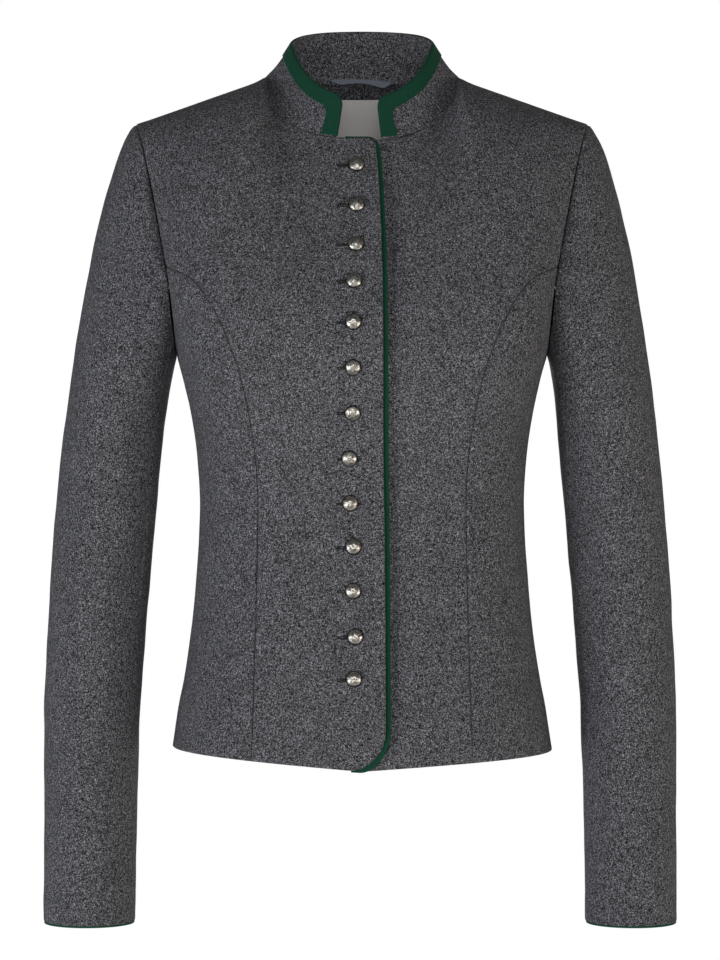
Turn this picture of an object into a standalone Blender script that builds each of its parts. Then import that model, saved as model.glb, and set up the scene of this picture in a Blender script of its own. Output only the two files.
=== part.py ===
"""Tyrolean loden jacket: a fitted, hollow jacket with a stand collar, set-in sleeves and domed metal buttons.

Metres, +Z up. The wearer faces -Y, so the jacket's front looks along -Y and its back along +Y; +X is the
wearer's left. The origin lies midway between the two points where the shoulder seams meet the neckline, where
the wearer's shoulders hold the jacket. Sizes below are in millimetres; make_mesh() turns them into metres.

The body cloth is one smooth surface. Below the yoke line it is a stack of sections, body_point(turn, height):
turn is the angle round the body, 0 at the centre front, 90 at the wearer's left side, 180 at the centre back
and -90 at the wearer's right side. Above the yoke line curves run from the top section to the neckline and the
shoulder seams, yoke_point(turn, rise). Each panel is a grid of points between its own seams, given a wall;
neighbours share their seam's points and stay SEAM_GAP apart.
"""

import math

import bmesh
import bpy
import numpy as np

# ---------------------------------------------------------------- sizes, mm
CLOTH = 2.0  # loden with its interlining
SEAM_GAP = 0.3
LAYER_GAP = 0.6  # between a piece and the flat facets of what it lies on
FACET_SPARE = 0.25  # more gap where a piece follows a curve with other facets
LAP_GAP = 1.0

YOKE_HEIGHT = -158.0  # where the princess seams run into the armholes
ARMPIT_HEIGHT = -226.0
HEM_HEIGHT = -549.0  # at the side seams
HEM_FRONT_DROP = 12.0
HEM_DROP_POWER = 1.15
HEM_TILT = 1.5
ARMHOLE_TURN = 65.5  # the turn at which the front armhole meets the yoke line
BACK_ARMHOLE_TURN = 115.0
NECK_TURN = 27.0  # the column that ends where the shoulder seam meets the neckline
BACK_NECK_TURN = 152.0

NECK_HALF_WIDTH = 78.0
NECK_DEPTH = 62.0
NECK_CREST = 6.0  # how far behind the middle the neckline is widest
NECK_FRONT_FALL = 54.0
NECK_FALL_POWER = 1.3
NECK_BACK_RISE = 1.0
SHOULDER_TIP = (186.0, 8.0, -38.0)
FRONT_NECK_TILT = 27.0  # how far from upright the cloth leans at the neckline, in degrees
BACK_NECK_TILT = 16.0
SHOULDER_TILT = 82.0
TILT_POWER = 2.2
SHOULDER_LEAN = 0.10
YOKE_LEAVE = 1.12  # how firmly a yoke column keeps the body's slope at its foot and the neck's at its top
YOKE_ARRIVE = 1.05
YOKE_FRONT_LENGTH = 112.0

#              height  half_width  front_depth  back_depth  front_fullness  back_fullness
BODY_SECTIONS = (
    (-590.0, 164.0, 107.0, 101.0, 0.15, 0.12),
    (-549.0, 155.2, 104.0, 98.0, 0.15, 0.12),
    (-512.0, 149.6, 101.0, 93.0, 0.15, 0.12),
    (-493.0, 145.7, 99.0, 90.0, 0.15, 0.11),
    (-447.0, 139.0, 95.5, 82.0, 0.14, 0.11),
    (-410.0, 135.6, 93.0, 75.0, 0.14, 0.10),
    (-375.0, 133.3, 91.0, 69.5, 0.14, 0.10),
    (-347.0, 132.5, 91.0, 67.0, 0.15, 0.11),
    (-322.0, 133.7, 94.0, 68.5, 0.18, 0.13),
    (-297.0, 136.2, 100.0, 72.5, 0.22, 0.15),
    (-269.0, 140.9, 110.0, 78.5, 0.27, 0.18),
    (-250.0, 145.2, 116.5, 83.0, 0.30, 0.20),
    (-226.0, 151.3, 120.5, 88.0, 0.33, 0.22),
    (-205.0, 154.8, 119.5, 91.0, 0.34, 0.23),
    (-184.0, 159.0, 115.0, 93.0, 0.34, 0.24),
    (-158.0, 164.3, 106.5, 94.0, 0.33, 0.25),
    (-148.0, 166.2, 102.5, 94.0, 0.33, 0.25),
)

#                 height  half_width of the front princess seam
FRONT_PRINCESS = (
    (-590.0, 88.5),
    (-542.0, 87.7),
    (-505.0, 86.7),
    (-442.0, 85.0),
    (-409.0, 84.2),
    (-352.0, 83.5),
    (-321.0, 84.5),
    (-285.0, 89.0),
    (-248.0, 96.4),
    (-205.0, 112.2),
    (-184.0, 123.6),
    (-169.0, 136.0),
    (-158.0, 157.5),
)
BACK_PRINCESS = (
    (-590.0, 82.0),
    (-542.0, 80.0),
    (-442.0, 73.0),
    (-352.0, 69.0),
    (-285.0, 75.0),
    (-225.0, 90.0),
    (-190.0, 108.0),
    (-171.0, 130.0),
    (-158.0, 157.5),
)

#              height  x of the right front's free edge
FRONT_EDGE = (
    (-590.0, 18.8),
    (-520.0, 18.8),
    (-400.0, 18.3),
    (-300.0, 17.0),
    (-180.0, 16.5),
    (-100.0, 14.0),
    (-57.0, 11.5),
    (-40.0, 11.0),
)
UNDERLAP_EDGE = -30.0  # x of the left front's hidden edge
HEM_CORNER = 30.0
TOP_CORNER = 6.5
OVERLAP_RAMP = (26.0, 48.0)  # x between which the left front comes up from under the right one

#              z  x, of the buttons' centres
BUTTONS = (
    (-77.1, -4.3),
    (-110.2, -4.3),
    (-142.3, -4.8),
    (-172.0, -6.3),
    (-204.9, -6.8),
    (-240.6, -7.1),
    (-276.3, -7.5),
    (-312.4, -10.0),
    (-348.1, -9.4),
    (-382.8, -6.8),
    (-418.0, -7.1),
    (-454.4, -5.3),
    (-487.9, -6.4),
)
#                 radius  height above the cloth
BUTTON_PROFILE = (
    (4.9, 0.0),
    (5.9, 0.7),
    (5.9, 1.3),
    (5.1, 2.4),
    (3.4, 3.5),
    (1.6, 4.1),
)

#               height  centre_x  half_width  centre_y  half_depth, below the armhole
SLEEVE_RINGS = (
    (-300.0, 203.2, 40.9, 3.0, 55.0),
    (-347.0, 207.9, 41.2, 4.0, 54.0),
    (-391.0, 211.6, 40.9, 3.5, 53.0),
    (-435.0, 214.8, 40.3, 1.5, 52.0),
    (-473.0, 217.0, 39.8, -2.0, 51.0),
    (-511.0, 218.8, 39.1, -6.5, 50.0),
    (-560.0, 220.7, 38.3, -13.0, 48.5),
    (-610.0, 221.5, 37.7, -20.0, 47.0),
    (-650.0, 221.7, 37.2, -25.5, 45.5),
    (-690.0, 221.8, 37.0, -31.0, 44.5),
)
SLEEVE_LEAN = -1.5  # how far the hanging sleeve leans away from the body below the armpit
UNDER_SLEEVE_COLUMNS = (10, 17)  # of the ring's 24, from the front sleeve seam to the back one
ARMHOLE_WALL = 1.1  # thickness of the wall along the armhole, as a share of the cloth's
# The way the sleeve leaves the armhole: at its inner side, and what its outermost point adds.
SLEEVE_LEAVE_X = (0.24, 0.48)
SLEEVE_LEAVE_Y = -0.10
SLEEVE_LEAVE_Z = (-0.97, 0.30)
SLEEVE_LEAVE_REACH = (0.9, -0.52)

COLLAR_TOP_HALF_WIDTH = 58.0
COLLAR_TOP_DEPTH = 54.0
# Height of the top edge, as a cubic in the cosine of the angle.
COLLAR_FRONT_HEIGHT = (27.5, -20.0, -60.6, 31.6)
COLLAR_BACK_HEIGHT = (27.5, -20.0, -2.7, 1.0)
COLLAR_CLOTH = 2.4
COLLAR_END = (-21.0, 17.5)  # x of the two front ends
COLLAR_CORNER = 9.0
COLLAR_BULGE = 0.3
COLLAR_BASE_GAP = 0.7
BAND_WIDTH = 12.0
BAND_CLOTH = 1.0
BAND_TOP_GAP = 0.3

# The band's end: how far its outer and inner edges lie in from the collar's front end, and how high. A level
# above zero is measured up from the neck seam, and one below zero down from the top edge.
#    outer_inset  outer_level  inner_inset  inner_level
BAND_END = (
    (0.0, 0.8, 12.0, 0.8),
    (0.0, 9.0, 12.0, 7.0),
    (0.0, -9.0, 12.0, -17.0),
    (0.8, -4.8, 12.7, -14.0),
    (2.6, -2.6, 13.4, -12.9),
    (9.0, -0.3, 17.0, -12.0),
)

FACING_DEPTH = 62.0
FACING_CLOTH = 1.0
FACING_GAP = 0.8
FACING_TOP_GAP = 0.1  # in rows of the back's grid
LABEL_SIZE = (66.0, 42.0)
LABEL_CLOTH = 0.6
LABEL_TOP = -11.0
LOOP_LENGTH = 52.0
LOOP_WIDTH = 5.0
LOOP_CLOTH = 1.2
LOOP_FOOT = -1.5
LOOP_INSET = 4.0

PIPING_WIDTH = 2.8
CUFF_PIPING_WIDTH = 1.6
#                 out, as a share of the width; inward, mm
PIPING_SECTION = (
    (0.0, 0.0),
    (0.3, -0.5),
    (0.75, -0.2),
    (1.0, 0.9),
    (0.75, 1.9),
    (0.0, 2.1),
)
CUFF_PIPING_SECTION = (
    (0.0, 0.1),
    (0.5, -0.1),
    (1.0, 0.5),
    (1.0, 1.3),
    (0.0, 1.9),
)
BUTTON_SIDES = 14
SHARP_ANGLE = 50.0  # facets that meet at less are shaded as one round surface, in degrees

# ---------------------------------------------------------------- finishes: sRGB, roughness, metallic
FINISHES = {
    "loden": ((0.295, 0.295, 0.305), 0.92, 0.0),
    "loden_inside": ((0.25, 0.25, 0.26), 0.92, 0.0),
    "green_felt": ((0.082, 0.235, 0.175), 0.85, 0.0),
    "label_weave": ((0.50, 0.48, 0.47), 0.7, 0.0),
    "loop_braid": ((0.20, 0.22, 0.25), 0.8, 0.0),
    "old_silver": ((0.46, 0.44, 0.41), 0.42, 1.0),
}


# ---------------------------------------------------------------- curves
def smooth(t):
    """A ramp from 0 to 1 that starts and ends level."""
    t = float(np.clip(t, 0.0, 1.0))
    return t * t * (3.0 - 2.0 * t)


def unit(v):
    """The vector at length one."""
    return v / np.linalg.norm(v)


def hermite(start, start_slope, end, end_slope, t):
    """A cubic between two points that leaves and arrives along the two slopes."""
    return (
        (1 + 2 * t) * (1 - t) ** 2 * start
        + t * (1 - t) ** 2 * start_slope
        + t * t * (3 - 2 * t) * end
        + t * t * (t - 1) * end_slope
    )


def column(rows, index):
    """A smooth function of height through one column of a table, with no overshoot between its rows."""
    table = np.array(sorted(rows), dtype=float)
    x = table[:, 0]
    y = table[:, index]
    step = np.diff(x)
    secant = np.diff(y) / step
    slope = np.zeros_like(y)
    for i in range(1, len(x) - 1):
        if secant[i - 1] * secant[i] > 0:
            w1 = 2 * step[i] + step[i - 1]
            w2 = step[i] + 2 * step[i - 1]
            slope[i] = (w1 + w2) / (w1 / secant[i - 1] + w2 / secant[i])
    slope[0] = secant[0]
    slope[-1] = secant[-1]

    def at(height):
        """The column's value at a height."""
        h = float(np.clip(height, x[0], x[-1]))
        i = min(max(int(np.searchsorted(x, h)) - 1, 0), len(step) - 1)
        t = (h - x[i]) / step[i]
        return float(hermite(y[i], step[i] * slope[i], y[i + 1], step[i] * slope[i + 1], t))

    return at


def solve(function, low, high):
    """The argument between low and high at which a rising or falling function crosses zero."""
    rising = function(high) > function(low)
    for _ in range(48):
        middle = 0.5 * (low + high)
        if (function(middle) > 0) == rising:
            high = middle
        else:
            low = middle
    return 0.5 * (low + high)


half_width = column(BODY_SECTIONS, 1)
front_depth = column(BODY_SECTIONS, 2)
back_depth = column(BODY_SECTIONS, 3)
front_fullness = column(BODY_SECTIONS, 4)
back_fullness = column(BODY_SECTIONS, 5)
front_princess = column(FRONT_PRINCESS, 1)
back_princess = column(BACK_PRINCESS, 1)
front_edge = column(FRONT_EDGE, 1)
ring_x = column(SLEEVE_RINGS, 1)
ring_half_width = column(SLEEVE_RINGS, 2)
ring_y = column(SLEEVE_RINGS, 3)
ring_half_depth = column(SLEEVE_RINGS, 4)


# ---------------------------------------------------------------- the body surface
def body_point(turn, height):
    """A point of the body below the yoke line."""
    s = math.sin(math.radians(abs(turn)))
    c = math.cos(math.radians(turn))
    if c >= 0:
        depth, fullness = front_depth(height), front_fullness(height)
    else:
        depth, fullness = back_depth(height), back_fullness(height)
    x = math.copysign(half_width(height) * s * (1 + fullness * c * c), turn)
    return np.array([x, -depth * c * (1 + fullness * s * s), height])


def neckline_point(angle):
    """The neckline: angle 0 at the centre front, 90 at the shoulder, 180 at the centre back."""
    s = math.sin(math.radians(angle))
    c = math.cos(math.radians(angle))
    if c >= 0:
        z = -NECK_FRONT_FALL * (1 - (1 - c) ** NECK_FALL_POWER)
    else:
        z = -NECK_BACK_RISE * c
    y = -NECK_DEPTH * c + NECK_CREST * (1 - c * c)
    return np.array([NECK_HALF_WIDTH * s, y, z])


def shoulder_point(t):
    """The wearer's left shoulder seam, from the neckline at 0 to the armhole at 1."""
    start = neckline_point(90.0)
    return start + t * (np.array(SHOULDER_TIP) - start)


def neck_angle(turn):
    """The neckline's angle at a column of the yoke that ends in the neckline."""
    if abs(turn) <= 90.0:
        return turn * 90.0 / NECK_TURN
    side = abs(turn)
    return math.copysign(180.0 - (180.0 - side) * 90.0 / (180.0 - BACK_NECK_TURN), turn)


def top_point(turn):
    """The top of a column of the yoke, and the way the column arrives there."""
    side = abs(turn)
    if side <= 90.0:
        share = (side - NECK_TURN) / (ARMHOLE_TURN - NECK_TURN)
        facing = 1.0
    else:
        share = (BACK_NECK_TURN - side) / (BACK_NECK_TURN - BACK_ARMHOLE_TURN)
        facing = -1.0
    if share <= 0:
        angle = neck_angle(turn)
        middle = FRONT_NECK_TILT if facing > 0 else BACK_NECK_TILT
        away = abs(angle) if facing > 0 else 180.0 - abs(angle)
        tilt = math.radians(middle + (SHOULDER_TILT - middle) * (away / 90.0) ** TILT_POWER)
        return neckline_point(angle), np.array([0.0, facing * math.sin(tilt), math.cos(tilt)])
    point = shoulder_point(share)
    point[0] = math.copysign(point[0], turn)
    lean = math.copysign(SHOULDER_LEAN * share, turn)
    rise = math.cos(math.radians(SHOULDER_TILT)) * (1 - share)
    return point, unit(np.array([lean, facing, rise]))


def yoke_point(turn, rise):
    """A point of the body between the yoke line, rise 0, and the neckline or shoulder seam, rise 1."""
    start = body_point(turn, YOKE_HEIGHT)
    step = 2.0
    along = (body_point(turn, YOKE_HEIGHT + step) - body_point(turn, YOKE_HEIGHT - step)) / (2 * step)
    end, arrive = top_point(turn)
    reach = np.linalg.norm(end - start)
    return hermite(start, unit(along) * reach * YOKE_LEAVE, end, arrive * reach * YOKE_ARRIVE, rise)


def hem_height(turn):
    """The hem is lowest at the centre front and hangs a little lower on the wearer's left."""
    s = math.sin(math.radians(turn))
    drop = HEM_FRONT_DROP * (1 - abs(s)) ** HEM_DROP_POWER if abs(turn) < 90.0 else 0.0
    return HEM_HEIGHT - drop - HEM_TILT * s


def turn_at(width, height, low, high):
    """The turn between low and high at which the body is as wide as asked."""
    return solve(lambda turn: body_point(turn, height)[0] - width, low, high)


def princess_seam(line, armhole_turn, turn_range, rows):
    """A princess seam from the hem to the armhole: rows of turn and height, evenly spaced along the seam."""
    heights = np.linspace(HEM_HEIGHT - SEAM_FOOT, YOKE_HEIGHT, SEAM_SAMPLES)
    widths = np.array([line(h) for h in heights])
    length = np.concatenate([[0.0], np.cumsum(np.hypot(np.diff(heights), np.diff(widths)))])
    seam = []
    for share in rows:
        height = float(np.interp(share * length[-1], length, heights))
        turn = turn_at(line(height), height, *turn_range)
        seam.append((turn, height))
    seam[0] = (seam[0][0], hem_height(seam[0][0]))
    seam[-1] = (armhole_turn, YOKE_HEIGHT)
    return seam


def armhole_low(armhole_turn, count):
    """The armhole's lower part from the yoke line to the side seam, as turn and height."""
    points = []
    for i in range(count + 1):
        angle = math.pi / 2 * (1 - i / count)
        turn = 90.0 + (armhole_turn - 90.0) * math.sin(angle)
        height = YOKE_HEIGHT - (YOKE_HEIGHT - ARMPIT_HEIGHT) * math.cos(angle)
        points.append((turn, height))
    return points


def coons(left, right, bottom, top):
    """Turn and height inside four edges: left and right run up the rows, bottom and top across them."""
    left, right = np.array(left), np.array(right)
    bottom, top = np.array(bottom), np.array(top)
    grid = np.zeros((len(left), len(bottom), 2))
    for i in range(len(left)):
        v = ROWS[i]
        for j in range(len(bottom)):
            u = j / (len(bottom) - 1)
            low = (1 - u) * bottom[0] + u * bottom[-1]
            high = (1 - u) * top[0] + u * top[-1]
            grid[i, j] = (1 - u) * left[i] + u * right[i] + (1 - v) * (bottom[j] - low) + v * (top[j] - high)
    return grid


# ---------------------------------------------------------------- panels of the body
ROWS = np.concatenate([np.linspace(0.0, 0.84, 13), [0.89, 0.93, 0.965, 1.0]])
RISES = (0.0, 0.14, 0.28, 0.42, 0.56, 0.70, 0.85, 1.0)
ARMHOLE_STEPS = 5
SHOULDER_SHARES = (0.25, 0.5, 0.75, 1.0)
BACK_NECK_STEPS = 6
RIGHT_OFFSETS = (0.0, 2.3, 8.8, 18.5, 30.0, 42.0)  # columns of the right front, from its free edge
LEFT_OFFSETS = (0.0, 14.0, 28.0, 42.0, 56.0, 63.0, 70.0, 78.0)
EDGE_SHARE = 0.45  # of the front's width, in its slanting rows, that the columns beside the free edge take
FRONT_NECK_ANGLES = (32.0, 45.0, 60.0, 75.0, 90.0)
SIDE_SEAMS = {"left": len(ROWS), "right": len(ROWS)}
SEAM_FOOT = 4.0  # how far below the side hem a princess seam is measured from
SEAM_SAMPLES = 200
SLEEVE_SHARES = (0.0, 0.09, 0.20, 0.33, 0.48, 0.65, 0.82, 1.0)
SLEEVE_HEIGHTS = (-335.0, -370.0, -405.0, -440.0, -480.0, -520.0, -560.0, -600.0, -645.0, -690.0)
SLEEVE_LEAN_DEPTH = 90.0


def turn_for_x(surface, x):
    """The turn at which a row of the front, surface(turn), passes x."""
    return solve(lambda turn: surface(turn)[0] - x, -30.0, 60.0)


def corner_cut(distance, radius):
    """How much a rounded corner takes off the edge at a distance from its end."""
    if distance >= radius:
        return 0.0
    return radius - math.sqrt(radius**2 - (radius - distance) ** 2)


def front_grid(edge_x, offsets, neck_angles, hem_corner, top_corner, tilt):
    """A centre front on the +X side, from its free edge across to the princess seam and the armhole.

    The first columns keep their distance from the free edge, offsets; the next ones end in the neckline at
    the neck angles, and the last ones in the shoulder seam.
    """
    top_turn = turn_for_x(lambda turn: yoke_point(turn, 1.0), edge_x(-NECK_FRONT_FALL) + offsets[-1])
    turns = [angle * NECK_TURN / 90.0 for angle in neck_angles]
    turns += [NECK_TURN + share * (ARMHOLE_TURN - NECK_TURN) for share in SHOULDER_SHARES]
    rest = [(turn - top_turn) / (ARMHOLE_TURN - top_turn) for turn in turns]
    count = len(offsets) + len(rest)
    seam = princess_seam(front_princess, ARMHOLE_TURN, (10.0, 85.0), ROWS)
    nominal = [EDGE_SHARE * i / (len(offsets) - 1) for i in range(len(offsets))]
    nominal += [EDGE_SHARE + (1 - EDGE_SHARE) * share for share in rest]

    def hem_at(j):
        """The hem's height at a column."""
        if j < len(offsets):
            x = edge_x(HEM_HEIGHT) + offsets[j]
            turn = turn_for_x(lambda t: body_point(t, HEM_HEIGHT), x)
            return hem_height(tilt * turn) + corner_cut(offsets[j], hem_corner)
        first = turn_for_x(lambda t: body_point(t, HEM_HEIGHT), edge_x(HEM_HEIGHT) + offsets[-1])
        turn = first + rest[j - len(offsets)] * (seam[0][0] - first)
        return hem_height(tilt * turn)

    hem = [hem_at(j) for j in range(count)]
    seam[0] = (seam[0][0], hem[-1])
    points = []
    for i, v in enumerate(ROWS):
        row = []
        seam_turn, seam_height = seam[i]
        edge_height = hem[0] + v * (YOKE_HEIGHT - hem[0])
        heights = []
        for j in range(count):
            u = nominal[j]
            flat = (1 - u) * hem[0] + u * hem[-1]
            heights.append((1 - u) * edge_height + u * seam_height + (1 - v) * (hem[j] - flat))
        for j in range(len(offsets)):
            h = heights[j]
            row.append(turn_for_x(lambda t, h=h: body_point(t, h), edge_x(h) + offsets[j]))
        for share in rest:
            row.append(row[len(offsets) - 1] + share * (seam_turn - row[len(offsets) - 1]))
        points.append([body_point(turn, h) for turn, h in zip(row, heights)])
    for rise in RISES[1:]:
        row = []
        tops = []
        for j in range(len(offsets)):
            cut = corner_cut(offsets[j], top_corner) / YOKE_FRONT_LENGTH
            top = rise * (1 - cut)
            x = edge_x(yoke_point(0.0, top)[2]) + offsets[j]
            row.append(turn_for_x(lambda t, top=top: yoke_point(t, top), x))
            tops.append(top)
        last = row[-1]
        for share in rest:
            row.append(last + share * (ARMHOLE_TURN - last))
            tops.append(rise)
        points.append([yoke_point(turn, top) for turn, top in zip(row, tops)])
    return np.array(points)


def back_grid():
    """The centre back, from the wearer's right princess seam across the fold to the left one."""
    neck = (180.0 - BACK_NECK_TURN) / (180.0 - BACK_ARMHOLE_TURN)
    half = [neck * k / BACK_NECK_STEPS for k in range(BACK_NECK_STEPS + 1)]
    half += [neck + (1 - neck) * share for share in SHOULDER_SHARES]
    seam = princess_seam(back_princess, BACK_ARMHOLE_TURN, (95.0, 175.0), ROWS)
    points = []
    for i, v in enumerate(ROWS):
        row = []
        middle = HEM_HEIGHT + v * (YOKE_HEIGHT - HEM_HEIGHT)
        for side in (-1, 1):
            seam_hem = hem_height(side * seam[0][0])
            seam_height = seam[i][1] if i else seam_hem
            for share in half[::-1] if side < 0 else half[1:]:
                turn = 180.0 - share * (180.0 - seam[i][0])
                low_turn = 180.0 - share * (180.0 - seam[0][0])
                level_hem = (1 - share) * HEM_HEIGHT + share * seam_hem
                height = (1 - share) * middle + share * seam_height
                height += (1 - v) * (hem_height(side * low_turn) - level_hem)
                row.append(body_point(side * turn, height))
        points.append(row)
    for rise in RISES[1:]:
        row = []
        for side in (-1, 1):
            for share in half[::-1] if side < 0 else half[1:]:
                row.append(yoke_point(side * (180.0 - share * (180.0 - BACK_ARMHOLE_TURN)), rise))
        points.append(row)
    return np.array(points)


def side_grid(line, armhole_turn, turn_range, tilt):
    """A side panel on the +X side, from its princess seam to the side seam."""
    seam = princess_seam(line, armhole_turn, turn_range, ROWS)
    seam[0] = (seam[0][0], hem_height(tilt * seam[0][0]))
    side_hem = hem_height(tilt * 90.0)
    side = [(90.0, side_hem + v * (ARMPIT_HEIGHT - side_hem)) for v in ROWS]
    top = armhole_low(armhole_turn, ARMHOLE_STEPS)
    turns = np.linspace(seam[0][0], 90.0, ARMHOLE_STEPS + 1)
    bottom = [(turn, hem_height(tilt * turn)) for turn in turns]
    places = coons(seam, side, bottom, top)
    return np.array([[body_point(turn, height) for turn, height in row] for row in places])


# ---------------------------------------------------------------- armhole, sleeve and collar
def armhole_loop():
    """The left armhole's points from the shoulder tip down the front, under the arm and up the back."""
    front = [yoke_point(ARMHOLE_TURN, rise) for rise in RISES[::-1]]
    front += [body_point(turn, height) for turn, height in armhole_low(ARMHOLE_TURN, ARMHOLE_STEPS)[1:]]
    back = [yoke_point(BACK_ARMHOLE_TURN, rise) for rise in RISES[::-1]]
    back += [body_point(turn, height) for turn, height in armhole_low(BACK_ARMHOLE_TURN, ARMHOLE_STEPS)[1:-1]]
    return np.array(front + back[:0:-1])


def loop_frame(loop):
    """The armhole's direction towards the sleeve, and at each point the direction into the opening."""
    middle = loop.mean(axis=0)
    across = np.linalg.svd(loop - middle)[2][2]
    across = across * math.copysign(1.0, across[0])
    inward = []
    for k in range(len(loop)):
        along = loop[(k + 1) % len(loop)] - loop[k - 1]
        direction = unit(np.cross(across, along))
        if np.dot(direction, middle - loop[k]) < 0:
            direction = -direction
        inward.append(direction)
    return across, np.array(inward)


def ring_point(angle, height):
    """A point of the sleeve below the armhole: angle 0 outermost, 90 at the front, 180 against the body."""
    a = math.radians(angle)
    lean = SLEEVE_LEAN * smooth((ARMPIT_HEIGHT - height) / SLEEVE_LEAN_DEPTH)
    x = ring_x(height) + lean + ring_half_width(height) * math.cos(a)
    return np.array([x, ring_y(height) - ring_half_depth(height) * math.sin(a), height])


def sleeve_grid():
    """The left sleeve as rows of ring points, from the armhole down to the cuff."""
    loop = armhole_loop()
    across, _ = loop_frame(loop)
    count = len(loop)
    first = SLEEVE_RINGS[0][0]
    rows = []
    for t in SLEEVE_SHARES:
        row = []
        for k in range(count):
            angle = 360.0 * k / count
            out = (1 + math.cos(math.radians(angle))) / 2
            start = loop[k] + across * SEAM_GAP
            end = ring_point(angle, first)
            reach = np.linalg.norm(end - start)
            x, y, z = (
                SLEEVE_LEAVE_X[0] + SLEEVE_LEAVE_X[1] * out,
                SLEEVE_LEAVE_Y * math.sin(math.radians(angle)),
                SLEEVE_LEAVE_Z[0] + SLEEVE_LEAVE_Z[1] * out,
            )
            leave = unit(np.array([x, y, z])) * (SLEEVE_LEAVE_REACH[0] + SLEEVE_LEAVE_REACH[1] * out)
            arrive = unit(ring_point(angle, first - 10.0) - end)
            row.append(hermite(start, leave * reach, end, arrive * reach, t))
        rows.append(row)
    for height in SLEEVE_HEIGHTS:
        rows.append([ring_point(360.0 * k / count, height) for k in range(count)])
    return np.array(rows)


def lap_depth(x, y):
    """How far the left front and the collar's left end lie back to pass under the right front."""
    if y > 0:
        return 0.0
    low, high = OVERLAP_RAMP
    return (CLOTH + LAP_GAP) * (1 - smooth((x - low) / (high - low)))


def collar_point(angle, height):
    """A point of the collar's outer face: angle as the neckline's, height 0 at the seam and 1 at the top."""
    s = math.sin(math.radians(angle))
    c = math.cos(math.radians(angle))
    rise = np.polynomial.polynomial.polyval(c, COLLAR_FRONT_HEIGHT if c > 0 else COLLAR_BACK_HEIGHT)
    top = np.array([COLLAR_TOP_HALF_WIDTH * s, -COLLAR_TOP_DEPTH * c, rise])
    base = neckline_point(angle)
    point = base + (top - base) * height
    return point - unit(np.array([s, -c, 0.0])) * COLLAR_BULGE * math.sin(math.pi * height)


def collar_normal(angle, height):
    """The way out of the collar's outer face."""
    along = collar_point(angle + 1.0, height) - collar_point(angle - 1.0, height)
    up = collar_point(angle, height + 0.02) - collar_point(angle, height - 0.02)
    normal = unit(np.cross(up, along))
    point = collar_point(angle, height)
    return normal if normal[0] * point[0] + normal[1] * point[1] > 0 else -normal


def collar_place(angle, height, out):
    """A point a distance out from the collar's outer face, set back where the left end passes under."""
    point = collar_point(angle, height)
    normal = collar_normal(angle, height)
    back = lap_depth(point[0], point[1]) if point[0] > 0 else 0.0
    return point + normal * (out - back)


def collar_angles(inset=0.0):
    """The collar's angles from the wearer's right end round the back to the left end."""
    first = -math.degrees(math.asin((-COLLAR_END[0] + inset) / NECK_HALF_WIDTH))
    last = -360.0 + math.degrees(math.asin((COLLAR_END[1] + inset) / NECK_HALF_WIDTH))
    return first, last


def collar_height(angle):
    """The collar's height along its lean, in mm."""
    return float(np.linalg.norm(collar_point(angle, 1.0) - collar_point(angle, 0.0)))


COLLAR_ANGLES = [-32.0] + [-45.0 - 15.0 * k for k in range(19)] + [-328.0]


def collar_grid():
    """The collar's outer face."""
    first, last = collar_angles()
    columns = [(first, 0.0)]
    columns += [(collar_angles(d)[0], d) for d in (2.6, 9.0)]
    columns += [(angle, 99.0) for angle in COLLAR_ANGLES]
    columns += [(collar_angles(d)[1], d) for d in (9.0, 2.6)]
    columns += [(last, 0.0)]
    rows = []
    for share in (0.0, 0.25, 0.5, 0.75, 1.0):
        row = []
        for angle, distance in columns:
            tall = collar_height(angle)
            low = COLLAR_BASE_GAP / tall
            high = 1.0 - corner_cut(distance, COLLAR_CORNER) / tall
            row.append(collar_place(angle, low + (high - low) * share, 0.0))
        rows.append(row)
    return np.array(rows)


def band_place(side, inset, level):
    """A place on the collar near a front end, as angle and height; BAND_END says what a level is."""
    angle = collar_angles(inset)[side]
    tall = collar_height(angle)
    return angle, (level if level > 0 else tall + level) / tall


def band_grid():
    """The collar band's outer face, as a strip from one front end up, round the neck and down the other."""
    ends = []
    for side in (0, 1):
        ends.append([(band_place(side, *place[:2]), band_place(side, *place[2:])) for place in BAND_END])
    middle = []
    for angle in COLLAR_ANGLES:
        tall = collar_height(angle)
        middle.append(((angle, 1 - BAND_TOP_GAP / tall), (angle, 1 - BAND_WIDTH / tall)))
    rows = []
    for share in (0.0, 0.5, 1.0):
        row = []
        for outer, inner in ends[0] + middle + ends[1][::-1]:
            angle, height = np.array(outer) + share * (np.array(inner) - np.array(outer))
            row.append(collar_place(angle, height, LAYER_GAP + BAND_CLOTH))
        rows.append(row)
    return np.array(rows)


# ---------------------------------------------------------------- pieces inside the back neck
def between(grid, row, place):
    """A grid's value at a row and column that may lie between two of them."""
    i = min(int(row), grid.shape[0] - 2)
    j = min(int(place), grid.shape[1] - 2)
    a, b = row - i, place - j
    low = (1 - b) * grid[i, j] + b * grid[i, j + 1]
    high = (1 - b) * grid[i + 1, j] + b * grid[i + 1, j + 1]
    return (1 - a) * low + a * high


def inside_face(back, normals, rows, columns, depth):
    """A face a distance inside the back panel's outer face; rows and columns are places in its grid."""
    return np.array([[between(back, r, c) - between(normals, r, c) * depth for c in columns] for r in rows])


def row_at_height(back, middle, height):
    """The place among the back panel's rows where its fold passes a height."""
    return solve(lambda r: between(back, r, middle)[2] - height, len(ROWS) - 1, len(back) - 1.001)


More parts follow.
